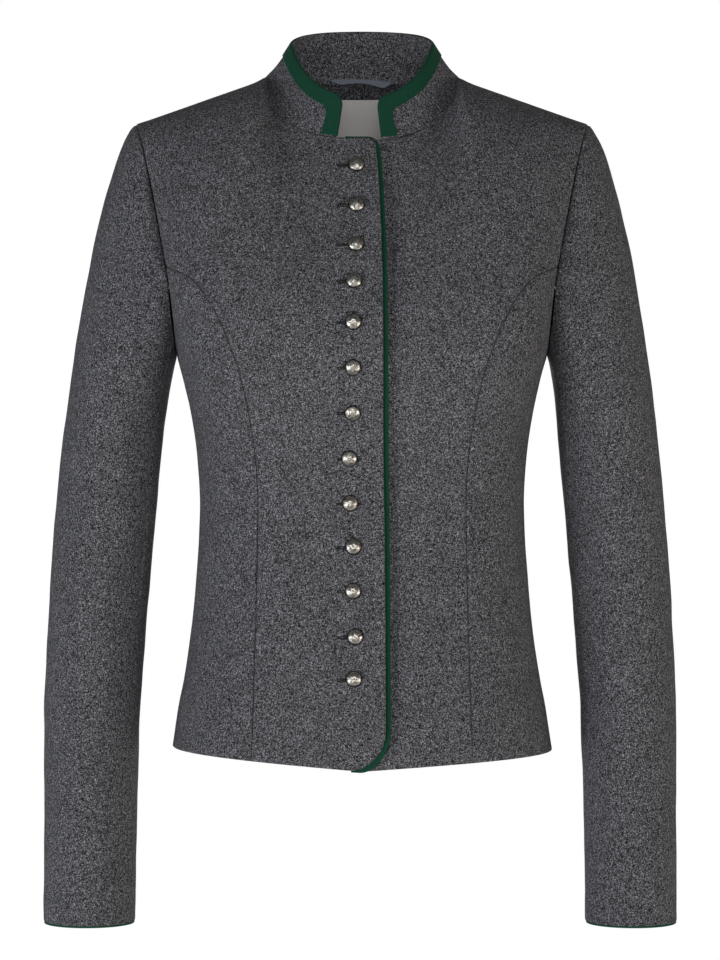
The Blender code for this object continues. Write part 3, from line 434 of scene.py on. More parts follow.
        rises = np.interp(np.linspace(0, len(steps) - 1, 84), np.arange(len(steps)), steps)
        angles = np.linspace(90.0, 0.0, 60)
        fore, aft = self.armhole_turn, self.back_armhole_turn
        front = [self.above(fore, rises[::-1]), low(fore, angles)[1:]]
        back = [low(aft, angles[::-1])[1:-1], self.above(aft, rises)[:-1]]
        numbered = [self.above(fore, np.array(steps[::-1])), low(fore, np.arange(90 - bend, -1, -bend))]
        numbered += [low(aft, np.arange(bend, 90, bend)), self.above(aft, np.array(steps))[:-1]]
        return ClosedCurve(np.concatenate(front + back), np.concatenate(numbered))


@dataclass(frozen=True)
class ClosedCurve:
    """A closed curve of many points, and the few numbered ones that divide it."""

    points: Array
    numbered: Array

    def at(self, places: Array) -> Array:
        """Points at places counted in numbered points.

        Args:
            places: Any numbers; a whole one is a numbered point.

        Returns:
            The points on the curve.
        """
        ring = np.vstack([self.points, self.points[:1]])
        length = lengths(ring)
        nearest = [int(np.argmin(np.linalg.norm(self.points - p, axis=1))) for p in self.numbered]
        marks = length[nearest]
        count = len(self.numbered)
        wide = np.concatenate([marks - length[-1], marks, marks + length[-1]])
        curve = Column(list(zip(np.arange(-count, 2 * count), wide)))
        return read_off(ring, length, np.mod(curve(np.mod(places, count)), length[-1]))

    def across(self) -> Array:
        """The way out of the curve's plane, towards +X."""
        way = np.linalg.svd(self.points - self.points.mean(axis=0), full_matrices=False)[2][2]
        return way * math.copysign(1.0, way[0])


# ---- cloth
@dataclass(frozen=True)
class Crease:
    """A soft trough or ridge across the cloth, on a plane of distance round the piece and height."""

    from_around: float
    from_height: float
    to_around: float
    to_height: float
    depth: float
    width: float
    bow: float
    far_side: float = 1.7  # how much wider it is on its lower side
    fade: tuple[float, float] = (0.35, 0.5)  # shares of its length over which its ends fade

    def sink(self, around: Array, height: Array) -> Array:
        """How far the crease sinks each point.

        Args:
            around: Distances round the piece.
            height: Heights.

        Returns:
            Depths, mm.
        """
        way = np.array([self.to_around - self.from_around, self.to_height - self.from_height], float)
        length = float(np.hypot(*way))
        way = way / length
        a, b = around - self.from_around, height - self.from_height
        along = (a * way[0] + b * way[1]) / length
        off = b * way[0] - a * way[1] - 4 * self.bow * along * (1 - along)
        width = np.where(off > 0, self.width, self.width * self.far_side)
        fade = ramp(along / self.fade[0]) * ramp((1 - along) / self.fade[1])
        return self.depth * np.exp(-((off / width) ** 2)) * fade


@dataclass(frozen=True)
class Unevenness:
    """The slight waviness of steamed wool: a sum of shallow waves in every direction."""

    height: float = 0.16
    shortest: float = 16.0
    longest: float = 70.0
    seed: int = 7
    count: int = 22
    steepness: float = 0.7
    crests: float = 2.2  # about how high the crests of the summed waves are

    def lift(self, points: Array) -> Array:
        """How far each point is lifted.

        Args:
            points: Points in mm.

        Returns:
            Heights, mm.
        """
        rng = np.random.default_rng(self.seed)
        total = np.zeros(points.shape[:-1])
        for _ in range(self.count):
            way = unit(rng.normal(size=3))
            wave = rng.uniform(self.shortest, self.longest)
            phase = points @ way * (2 * math.pi / wave) + rng.uniform(0, 6.28)
            total += (wave / self.longest) ** self.steepness * np.sin(phase)
        return total * self.height / self.crests


class Side(Enum):
    """An edge of a sheet's grid, by where its line of points is found."""

    LEFT = (slice(None), 0)
    RIGHT = (slice(None), -1)
    BOTTOM = (0, slice(None))
    TOP = (-1, slice(None))


@dataclass(frozen=True)
class Edge:
    """How an edge is finished, in mm."""

    roll: float  # of the outer face
    under: float  # of the inner face
    sewn: bool = False  # to the next piece, so the cloth keeps still along it
    draw: float = 0.0  # how far the stitching draws it in
    allowance: float = 0.0  # how far the allowance behind it lifts the cloth
    allowance_width: float = 9.0
    allowance_rise: float = 2.5
    allowance_fall: float = 3.0
    calm: float = 9.0  # how far from a seam the creases have died out

    def lift(self, gap: Array) -> Array:
        """How far the allowance lifts the cloth at a distance from the edge."""
        rise = ramp(gap / self.allowance_rise)
        return self.allowance * rise * ramp((self.allowance_width - gap) / self.allowance_fall)


SEAM = Edge(roll=1.5, under=0.3, sewn=True, draw=0.15, allowance=0.2)
ARMHOLE_SEAM = Edge(roll=1.6, under=0.2, sewn=True, draw=0.1, allowance=0.2)
BACK_SEAM = Edge(roll=1.2, under=0.2, sewn=True, draw=-0.1, allowance=0.2)
FRONT_NECK_SEAM = Edge(roll=1.5, under=0.2, sewn=True, allowance=0.1)
NECK_SEAM = Edge(roll=0.5, under=0.2, sewn=True, allowance=0.1)
FOLD = Edge(roll=1.0, under=0.9, allowance=0.12, allowance_width=22.0)
THIN_FOLD = Edge(roll=0.5, under=0.4)
COLLAR_FOLD = Edge(roll=1.1, under=1.1)
RIBBON_EDGE = Edge(roll=0.35, under=0.35)
RAW = Edge(roll=0.3, under=0.25)

FULL_SHARE = 0.97  # a sheet that fills this share of its width by its length is stated as a rectangle


@dataclass
class Sheet:
    """A piece of cloth: a grid of points on its face, the ways out of it, and what lies behind."""

    name: str
    face: Array
    ways: Array
    thickness: float
    edges: dict[Side, Edge]
    around: Array | None = None
    creases: Rows = ()
    waves: Unevenness | None = None
    raised: Array | None = None
    level: slice = field(default_factory=lambda: slice(None))  # the rows that run straight across the cut

    def distance(self, side: Side) -> Array:
        """How far each point is from an edge, mm."""
        gap = distances(self.face, self.face[side.value])
        gap[side.value] = 0.0
        return gap

    def cut(self) -> tuple[float, float, float]:
        """The sheet's width, length and area laid flat, in metres and square metres."""
        across = np.linalg.norm(np.diff(self.face, axis=1), axis=-1).sum(axis=1)[self.level]
        down = np.linalg.norm(np.diff(self.face, axis=0), axis=-1).sum(axis=0)
        a, b = self.face[1:, 1:] - self.face[:-1, :-1], self.face[1:, :-1] - self.face[:-1, 1:]
        area = np.linalg.norm(np.cross(a, b), axis=-1).sum() / 2 * MM * MM
        width, length = float(across.max() * MM), float(down.max() * MM)
        return width, length, float(min(area, width * length))

    def layers(self) -> tuple[Array, Array]:
        """The outer and inner faces of the finished cloth."""
        lift = np.zeros(self.face.shape[:2])
        if self.waves is not None:
            lift += self.waves.lift(self.face)
        if self.around is not None:
            for row in self.creases:
                lift -= Crease(*row).sink(self.around, self.face[..., 2])
        outer_roll, inner_roll, behind = np.zeros_like(lift), np.zeros_like(lift), np.zeros_like(lift)
        pull, steady = np.zeros_like(self.face), np.ones_like(lift)
        next_in = {Side.LEFT: (slice(None), 1), Side.RIGHT: (slice(None), -2)}
        next_in |= {Side.BOTTOM: (1, slice(None)), Side.TOP: (-2, slice(None))}
        for side, edge in self.edges.items():
            gap = self.distance(side)
            behind += edge.lift(gap)
            np.maximum(outer_roll, corner_cut(gap, edge.roll), out=outer_roll)
            np.maximum(inner_roll, corner_cut(gap, edge.under), out=inner_roll)
            if edge.sewn:
                steady = np.minimum(steady, ramp(gap / edge.calm))
                inwards = self.face[next_in[side]] - self.face[side.value]
                # Corners stay where they are, so that no gap opens where four pieces meet.
                pull[side.value][1:-1] += (unit(inwards) * edge.draw)[1:-1]
        lift = lift * steady + behind
        if self.raised is not None:
            lift += self.raised
        outer = self.face + pull + self.ways * (lift - outer_roll)[..., None]
        inner = self.face + pull + self.ways * (lift - self.thickness + inner_roll)[..., None]
        return outer, inner

    def build(self, slot: str) -> Piece:
        """The finished sheet as one closed mesh; its inside faces take the second material."""
        return stand_in(closed_grid(f"{self.name}_cloth", *self.layers()), self.name, slot)

    def declare(self, piece: Piece, trims: Sequence[Piece] = ()) -> None:
        """State the sheet's flat cut.

        Args:
            piece: The finished sheet.
            trims: Narrow pieces sewn along it; not used.
        """
        width, length, area = self.cut()
        LOG.info("%s: cut %.0f x %.0f mm, %.4f m2", self.name, width / MM, length / MM, area)
        if area > FULL_SHARE * width * length:
            list(trims)
        else:
            list(trims)


def stand_in(piece: Piece, node: str, slot: str) -> Piece:
    """Hide the solid that a piece replaces.

    Args:
        piece: The piece.
        node: The solid's node.
        slot: The finish; not used.

    Returns:
        The piece.
    """
    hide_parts(node)
    return piece


def quads_of(index: Array) -> Array:
    """The quads between the rows and columns of a grid of point numbers."""
    corners = [index[:-1, :-1], index[:-1, 1:], index[1:, 1:], index[1:, :-1]]
    return np.stack(corners, axis=-1).reshape(-1, 4)


def closed_grid(name: str, outer: Array, inner: Array) -> Piece:
    """Two grids of points joined round their edges into a closed mesh.

    Args:
        name: The piece.
        outer: Rows and columns of points, mm.
        inner: The same behind them.

    Returns:
        The object, with a map "cut" in metres.
    """
    rows, columns, _ = outer.shape
    half = rows * columns
    index = np.arange(half).reshape(rows, columns)
    quads = quads_of(index)
    faces = [quads, quads[:, ::-1] + half]
    for line in (index[0], index[-1][::-1], index[::-1, 0], index[:, -1]):
        faces.append(np.stack([line[1:], line[:-1], line[:-1] + half, line[1:] + half], axis=-1))
    points = np.concatenate([outer.reshape(-1, 3), inner.reshape(-1, 3)]) * MM

    step_u = np.linalg.norm(np.diff(outer, axis=1), axis=-1)
    step_v = np.linalg.norm(np.diff(outer, axis=0), axis=-1)
    u = np.concatenate([np.zeros((rows, 1)), np.cumsum(step_u, axis=1)], axis=1)
    v = np.concatenate([np.zeros((1, columns)), np.cumsum(step_v, axis=0)], axis=0)
    u = u - u[:, columns // 2 : columns // 2 + 1]
    cut = np.tile(np.stack([u, v], axis=-1).reshape(-1, 2) * MM, (2, 1))
    return solid_mesh(name, points, np.concatenate(faces), cut, len(quads))


def solid_mesh(
    name: str, points: Array, faces: Array, cut: Array | None, outside: int, hollow: Array | None = None
) -> Piece:
    """A mesh object from arrays, smooth, turned outwards, and riding on the jacket's one body.

    Args:
        name: The piece.
        points: Its points, metres.
        faces: Its quads.
        cut: A place on the flat cut for each point, metres, if it has one.
        outside: How many of the first faces are the outer face; the rest go in the second slot.
        hollow: For each point, how dark it is painted, 0 to 1, if it has one: patina in the hollows of a
            relief, and painted shade on a button's foot.

    Returns:
        The object.
    """
    a, b, c, d = (points[faces[:, k]] for k in range(4))
    volumes = np.einsum("ij,ij->i", a, np.cross(b, c)), np.einsum("ij,ij->i", a, np.cross(c, d))
    if volumes[0].sum() + volumes[1].sum() < 0:
        faces = faces[:, ::-1]
    mesh = bpy.data.meshes.new(name)
    mesh.vertices.add(len(points))
    mesh.vertices.foreach_set("co", points.astype(np.float32).ravel())
    mesh.loops.add(faces.size)
    mesh.loops.foreach_set("vertex_index", faces.astype(np.int32).ravel())
    mesh.polygons.add(len(faces))
    mesh.polygons.foreach_set("loop_start", np.arange(0, faces.size, 4, dtype=np.int32))
    slots = np.ones(len(faces), dtype=np.int32)
    slots[:outside] = 0
    mesh.polygons.foreach_set("material_index", slots)
    mesh.polygons.foreach_set("use_smooth", np.ones(len(faces), dtype=bool))
    mesh.update(calc_edges=True)
    if cut is not None:
        layer = mesh.uv_layers.new(name="cut")
        layer.data.foreach_set("uv", cut[faces.ravel()].astype(np.float32).ravel())
    if hollow is not None:
        attribute = mesh.attributes.new("hollow", "FLOAT", "POINT")
        attribute.data.foreach_set("value", hollow.astype(np.float32))
    piece = bpy.data.objects.new(name, mesh)
    bpy.context.scene.collection.objects.link(piece)
    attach(piece, BODY)
    return piece


def cord_mesh(
    name: str, path: Array, out: Array, inward: Array, section: Array, closed: bool = False
) -> Piece:
    """A cord or strip of one section along a path.

    Args:
        name: The piece.
        path: Its points, mm.
        out: A unit vector at each point for the section's first number.
        inward: One for the section's second number.
        section: Points of the section for each point of the path, or one set for all of them.
        closed: Whether the path ends where it starts.

    Returns:
        The object, with a map "cut" in metres.
    """
    count, sides = len(path), section.shape[-2]
    shape = np.broadcast_to(section, (count, sides, 2))
    rings = path[:, None] + out[:, None] * shape[..., :1] + inward[:, None] * shape[..., 1:]
    index = np.arange(count * sides).reshape(count, sides)
    across = np.hstack([index, index[:, :1]])
    quads = quads_of(np.vstack([across, across[:1]]) if closed else across)
    if not closed:
        caps = []
        for row in (index[0], index[-1][::-1]):
            for k in range(sides // 2 - 1):
                caps.append((row[k + 1], row[k], row[sides - 1 - k], row[sides - 2 - k]))
        quads = np.concatenate([quads, np.array(caps)])
    girth, length = lengths(rings[0]), lengths(path)
    cut = np.stack(np.broadcast_arrays(girth[None, :], length[:, None]), axis=-1).reshape(-1, 2) * MM
    return solid_mesh(name, rings.reshape(-1, 3) * MM, quads, cut, len(quads))


# ---- sizes shared by the pieces
@dataclass(frozen=True)
class Cloth:
    """Thicknesses and gaps, mm."""

    loden: float = 2.0
    collar: float = 2.4
    band: float = 0.85
    facing: float = 1.0
    label: float = 0.6
    loop: float = 0.9
    lap_gap: float = 1.0
    lap_start: float = 26.0
    lap_end: float = 48.0

    def lap(self, points: Array) -> Array:
        """How far the left front and the collar's left end lie back, to pass under the right front."""
        t = (points[..., 0] - self.lap_start) / (self.lap_end - self.lap_start)
        return np.where(points[..., 1] > 0, 0.0, (self.loden + self.lap_gap) * (1 - ramp(t)))


FLIP = np.array([-1.0, 1.0, 1.0])
FORM = BodyForm()
CLOTH = Cloth()


@dataclass(frozen=True)
class NeckBend:
    """The hollow curve in which the cloth turns up into the collar at the sides of the neck."""

    depth: float = 1.9
    reach: float = 15.0
    start: float = 0.35  # shares of the neckline's half width between which the curve comes in
    full: float = 0.85

    def lift(self, points: Array) -> Array:
        """How far the curve lifts each point of the body or the collar.

        Args:
            points: Points in mm.

        Returns:
            Heights, mm.
        """
        gap = distances(points, FORM.neckline(np.linspace(0.0, 360.0, 721)), 1.0)
        side = np.abs(points[..., 0]) / FORM.neck_half_width
        side = ramp((side - self.start) / (self.full - self.start))
        return self.depth * side * np.clip(1 - gap / self.reach, 0.0, None) ** 2


NECK_BEND = NeckBend()

#  height and distance from the middle of the front and the back princess seam
FRONT_PRINCESS = (
    (-590, 88.5), (-542, 87.7), (-505, 86.7), (-442, 85), (-409, 84.2), (-352, 83.5),
    (-321, 84.5), (-285, 89), (-248, 96.4), (-205, 112.2), (-184, 123.6), (-169, 136),
    (-158, 157.5),
)
BACK_PRINCESS = (
    (-590, 82), (-542, 80), (-442, 73), (-352, 69), (-285, 75), (-225, 90),
    (-190, 108), (-171, 130), (-158, 157.5),
)
FRONT_REACH = (10.0, 85.0)
BACK_REACH = (95.0, 175.0)
#  height and distance from the middle of the right front's free edge
FRONT_EDGE = (
    (-590, 18.8), (-520, 18.8), (-400, 18.3), (-300, 17), (-180, 16.5), (-100, 14),
    (-57, 11.5), (-40, 11),
)
#  z and x of the buttons' centres
BUTTONS = (
    (-77.1, -4.3), (-110.2, -4.3), (-142.3, -4.8), (-172, -6.3), (-204.9, -6.8), (-240.6, -7.1),
    (-276.3, -7.5), (-312.4, -10), (-348.1, -9.4), (-382.8, -6.8), (-418, -7.1), (-454.4, -5.3),
    (-487.9, -6.4),
)


#  Creases by piece: from and to, each as distance round the piece and height; depth, width and bow.
#  A depth below zero is a ridge.
CREASES = {
    "right front": (
        (-100, -206, -52, -236, 0.7, 8, 4), (-74, -318, -30, -330, 0.35, 5, -2),
        (-80, -352, -44, -346, 0.55, 6, 2), (-18, -276, -52, -283, 0.3, 4, 0),
        (-16, -382, -58, -374, 0.4, 4.5, -2), (-72, -455, -34, -463, 0.45, 5, 2),
        (-76, -503, -26, -514, 0.6, 6, -3), (-62, -398, -58, -470, -0.45, 8, 0),
    ),
    "left front": (
        (36, -254, 96, -222, 0.65, 8, -4), (52, -338, 84, -346, 0.5, 6, 2),
        (40, -372, 82, -364, 0.35, 5, -2), (38, -452, 76, -447, 0.45, 5, 2),
        (44, -516, 86, -506, 0.6, 6, -3), (58, -300, 54, -400, -0.5, 8, 0),
    ),
    "back": (
        (-62, -330, 14, -340, 0.9, 8, -5), (-22, -364, 64, -352, 0.8, 8, -4),
        (-72, -394, -16, -386, 0.6, 7, 3), (28, -302, 74, -312, 0.7, 7, -3),
        (-50, -508, 22, -518, 0.5, 7, 3), (-100, -146, -74, -214, 0.9, 9, 5),
        (101, -143, 74, -208, 0.8, 9, -5), (-40, -60, 34, -66, 0.5, 8, 4),
    ),
    "side front": (
        (122, -292, 192, -304, 0.7, 6, 3), (118, -346, 190, -353, 0.6, 6, -3),
        (130, -498, 188, -507, 0.5, 6, 2),
    ),
    "side back": (
        (204, -250, 244, -264, 0.6, 7, 3), (200, -318, 258, -331, 0.8, 7, -3),
        (204, -361, 252, -352, 0.6, 6, 2), (210, -470, 256, -462, 0.4, 6, 2),
    ),
    "right sleeve": (
        (42, -152, 96, -176, 0.6, 8, 4), (46, -260, 98, -282, 0.6, 7, 3),
        (12, -312, 64, -337, 0.75, 7, -4), (84, -352, 140, -338, 0.8, 7, 3),
        (92, -398, 142, -384, 0.7, 6, -2), (30, -452, 70, -468, 0.45, 6, 2),
        (78, -624, 122, -596, 1, 5, 3), (10, -566, 52, -584, 0.45, 6, -2),
        (20, -655, 112, -662, 0.5, 6, 3), (-120, -300, -58, -322, 1.1, 7, 4),
        (-128, -332, -46, -346, 1, 6, -4), (-112, -372, -60, -360, 0.8, 7, 3),
        (-100, -600, -44, -618, 0.7, 6, 3), (-64, -170, -18, -205, 0.6, 9, 4),
    ),
    "left sleeve": (
        (112, -146, 52, -136, 0.8, 7, 3), (30, -226, 76, -252, 0.6, 8, -4),
        (60, -318, 56, -372, 0.5, 6, 3), (88, -306, 142, -292, 0.7, 7, 3),
        (90, -366, 144, -352, 0.8, 7, -3), (94, -548, 142, -520, 1, 6, 3),
        (24, -470, 66, -486, 0.45, 6, 2), (36, -608, 92, -626, 0.55, 6, -3),
        (18, -660, 104, -653, 0.45, 6, 2), (-124, -306, -52, -326, 1, 7, 4),
        (-118, -342, -62, -336, 0.9, 6, -3), (-108, -384, -48, -370, 0.8, 7, 3),
        (-96, -586, -40, -602, 0.6, 6, 3), (-60, -176, -20, -212, 0.6, 9, 4),
    ),
}


# ---- the body's panels
@dataclass
class Front:
    """A centre front, made on the +X side and turned over for the wearer's right."""

    name: str
    side: float
    edge: Callable[[Array], Array]
    creases: Rows
    hem_corner: float = 0.0
    top_corner: float = 0.0
    pitch: float = 2.4
    row_pitch: float = 3.2
    top_pitch: float = 2.6
    corner_fade: float = 85.0
    top_corner_fade: float = 22.0
    level_share: float = 0.7  # of the rows above the yoke line, those that run straight across
    edge_lift: float = 1.8
    edge_lift_width: float = 15.0
    dimple: float = 0.45
    dimple_width: float = 9.0
    lap_trough: float = 3.4  # how far the underlap's edge lies back, so that the lap's edge stands clear
    lap_span: tuple[float, float] = (2.0, 40.0)

    def stand(self, face: Array) -> Array:
        """How the fastening moves the cloth: the lapping edge stands off, and the buttons press in.

        Args:
            face: The panel's points, mm.

        Returns:
            Heights, mm.
        """
        x, z = face[..., 0], face[..., 2]
        if self.side > 0:
            ends = ramp((-62.0 - z) / 40.0) * ramp((z + 556.0) / 30.0)
            start, end = self.lap_span
            return -self.lap_trough * ramp((x - start) / 8.0) * ramp((end - x) / 18.0) * ends
        gap = distances(face, face[:, 0])
        lift = self.edge_lift * ramp(1 - gap / self.edge_lift_width) * ramp((-60.0 - z) / 30.0)
        for height, across in BUTTONS:
            away = (x - across) ** 2 + (z - height) ** 2
            lift = lift - self.dimple * np.exp(-away / self.dimple_width**2)
        return lift

    def edge_turn(self, surface: Callable, place: Array | float, height: Array | float) -> Array:
        """The turns at which a form meets the free edge, for its second places and their heights."""
        reach = np.full(np.shape(place), EDGE_REACH)
        return crossing(lambda t: surface(t, place)[..., 0] - self.edge(height), -reach, reach)

    def places(self) -> tuple[Array, Array, Array, Array]:
        """Shares of the columns, rises above the yoke line, and turns and heights of the rows below it."""
        tilt = self.side
        top_edge = self.edge_turn(FORM.above, 1.0, -FORM.neck_front_fall)
        corner = (FORM.neck_turn - top_edge) / (FORM.armhole_turn - top_edge)
        u = np.unique(np.append(shares(105.0, self.pitch), corner))
        v = shares(400.0, self.row_pitch, end=False)
        rise = shares(120.0, self.top_pitch, start=False)[1:]
        seam = FORM.seam(Column(FRONT_PRINCESS), FORM.armhole_turn, FRONT_REACH, v, tilt)
        foot = self.edge_turn(FORM.below, FORM.hem, FORM.hem)
        hem_turn = foot + (seam[0, 0] - foot) * u
        hem = FORM.hem_height(tilt * hem_turn)
        edge_height = hem[0] + v * (FORM.yoke - hem[0])
        flat = (1 - u) * hem[0] + u * hem[-1]
        height = (1 - u) * edge_height[:, None] + u * seam[:, 1:] + (1 - v[:, None]) * (hem - flat)
        offset = FORM.below(hem_turn, FORM.hem)[..., 0] - float(self.edge(FORM.hem))
        if self.hem_corner:
            above_hem = (height - hem).clip(0)
            height = height + corner_cut(offset, self.hem_corner) * (1 - ramp(above_hem / self.corner_fade))
        first = self.edge_turn(FORM.below, height[:, 0], height[:, 0])
        # The free edge is a line in x and height, so each point's first turn is read at its own height.
        order = np.argsort(height[:, 0])
        start = np.interp(height, height[order, 0], first[order])
        below = crossing(
            lambda t: FORM.below(t, height)[..., 0] - self.edge(height), start - 8.0, start + 8.0
        )
        turn = below + (seam[:, :1] - below) * u
        return u, rise, turn, height

    def sheet(self) -> Sheet:
        """The panel as a sheet."""
        u, rise, turn, height = self.places()
        edge = self.edge_turn(FORM.above, rise, FORM.above(0.0, rise)[..., 2])
        top_turn = edge[:, None] + (FORM.armhole_turn - edge[:, None]) * u
        rises = np.broadcast_to(rise[:, None], top_turn.shape)
        if self.top_corner:
            x = FORM.above(top_turn, rises)[..., 0]
            offset = x - FORM.above(top_turn[:, :1], rises[:, :1])[..., 0]
            fade = 1 - ramp((1 - rises) * FORM.front_length / self.top_corner_fade)
            rises = rises - corner_cut(offset, self.top_corner) / FORM.front_length * fade
        face, ways = FORM.panel(turn, height, top_turn, rises)
        bend = NECK_BEND.lift(face)
        if self.side > 0:
            face = face - ways * CLOTH.lap(face)[..., None]
        else:
            face, ways = face * FLIP, ways * FLIP
        edges = {Side.LEFT: FOLD, Side.RIGHT: SEAM, Side.BOTTOM: FOLD, Side.TOP: FRONT_NECK_SEAM}
        sheet = Sheet(self.name, face, ways, CLOTH.loden, edges, face[..., 0], self.creases)
        sheet.waves = Unevenness(seed=3 if self.side > 0 else 5)
        sheet.raised = bend + self.stand(face)
        sheet.level = slice(0, len(height) + int(self.level_share * len(rise)))
        return sheet


@dataclass
class Back:
    """The centre back, cut on the fold."""

    creases: Rows
    name: str = "back"
    pitch: float = 2.8
    row_pitch: float = 3.2
    top_pitch: float = 2.6
    nearest: float = 0.008  # a column this near the neckline's corner moves to the corner
    level_share: float = 0.7

    def sheet(self) -> Sheet:
        """The panel as a sheet."""
        span = 180.0 - FORM.back_armhole_turn
        corner = (180.0 - FORM.back_neck_turn) / span
        half = shares(150.0, self.pitch, start=False)
        half = np.unique(np.append(half[np.abs(half - corner) > self.nearest], corner))
        v = shares(390.0, self.row_pitch, end=False)
        rise = shares(125.0, self.top_pitch, start=False)[1:]
        share = np.concatenate([-half[::-1], half[1:]])
        size, sign = np.abs(share), np.where(share < 0, -1.0, 1.0)
        seam = FORM.seam(Column(BACK_PRINCESS), FORM.back_armhole_turn, BACK_REACH, v, 0.0)
        low_turn = 180.0 - size * (180.0 - seam[0, 0])
        level = (1 - size) * FORM.hem + size * seam[0, 1]
        height = (1 - size) * (FORM.hem + v * (FORM.yoke - FORM.hem))[:, None] + size * seam[:, 1:]
        height = height + (1 - v[:, None]) * (FORM.hem_height(sign * low_turn) - level)
        turn = sign * (180.0 - size * (180.0 - seam[:, :1]))
        top_turn = np.broadcast_to(sign * (180.0 - size * span), (len(rise), len(share)))
        rises = np.broadcast_to(rise[:, None], top_turn.shape)
        face, ways = FORM.panel(turn, height, top_turn, rises)
        edges = {Side.LEFT: BACK_SEAM, Side.RIGHT: BACK_SEAM, Side.BOTTOM: FOLD, Side.TOP: NECK_SEAM}
        waves, bend = Unevenness(seed=11), NECK_BEND.lift(face)
        sheet = Sheet(self.name, face, ways, CLOTH.loden, edges, face[..., 0], self.creases, waves, bend)
        sheet.level = slice(0, len(height) + int(self.level_share * len(rise)))
        return sheet


@dataclass
class SidePanel:
    """A side panel, made on the +X side, from its princess seam to the side seam."""

    name: str
    side: float
    line: Rows
    armhole_turn: float
    reach: tuple[float, float]
    creases: Rows
    pitch: float = 2.8
    row_pitch: float = 3.2
    degree: float = 2.2  # about how far round the body one degree goes, mm

    def sheet(self) -> Sheet:
        """The panel as a sheet."""
        v = shares(350.0, self.row_pitch)
        u = shares(75.0, self.pitch)
        seam = FORM.seam(Column(self.line), self.armhole_turn, self.reach, v, self.side)
        side_hem = float(FORM.hem_height(self.side * 90.0))
        side_seam = np.stack([np.full_like(v, 90.0), side_hem + v * (FORM.armpit - side_hem)], axis=-1)
        angle = np.radians(90.0 * (1 - u))
        turn = 90.0 + (self.armhole_turn - 90.0) * np.sin(angle)
        top = np.stack([turn, FORM.yoke - (FORM.yoke - FORM.armpit) * np.cos(angle)], axis=-1)
        turn = seam[0, 0] + (90.0 - seam[0, 0]) * u
        bottom = np.stack([turn, FORM.hem_height(self.side * turn)], axis=-1)
        a, b = u[None, :, None], v[:, None, None]
        places = (1 - a) * seam[:, None] + a * side_seam[:, None]
        places = places + (1 - b) * (bottom - (1 - a) * bottom[0] - a * bottom[-1])
        places = places + b * (top - (1 - a) * top[0] - a * top[-1])
        face = FORM.below(places[..., 0], places[..., 1])
        ways = facing(FORM.below, places[..., 0], places[..., 1], TURN_STEP, HEIGHT_STEP)
        if self.side < 0:
            face, ways = face * FLIP, ways * FLIP
        edges = {Side.LEFT: SEAM, Side.RIGHT: SEAM, Side.BOTTOM: FOLD, Side.TOP: ARMHOLE_SEAM}
        around, waves = places[..., 0] * self.degree, Unevenness(seed=17)
        return Sheet(self.name, face, ways, CLOTH.loden, edges, around, self.creases, waves)


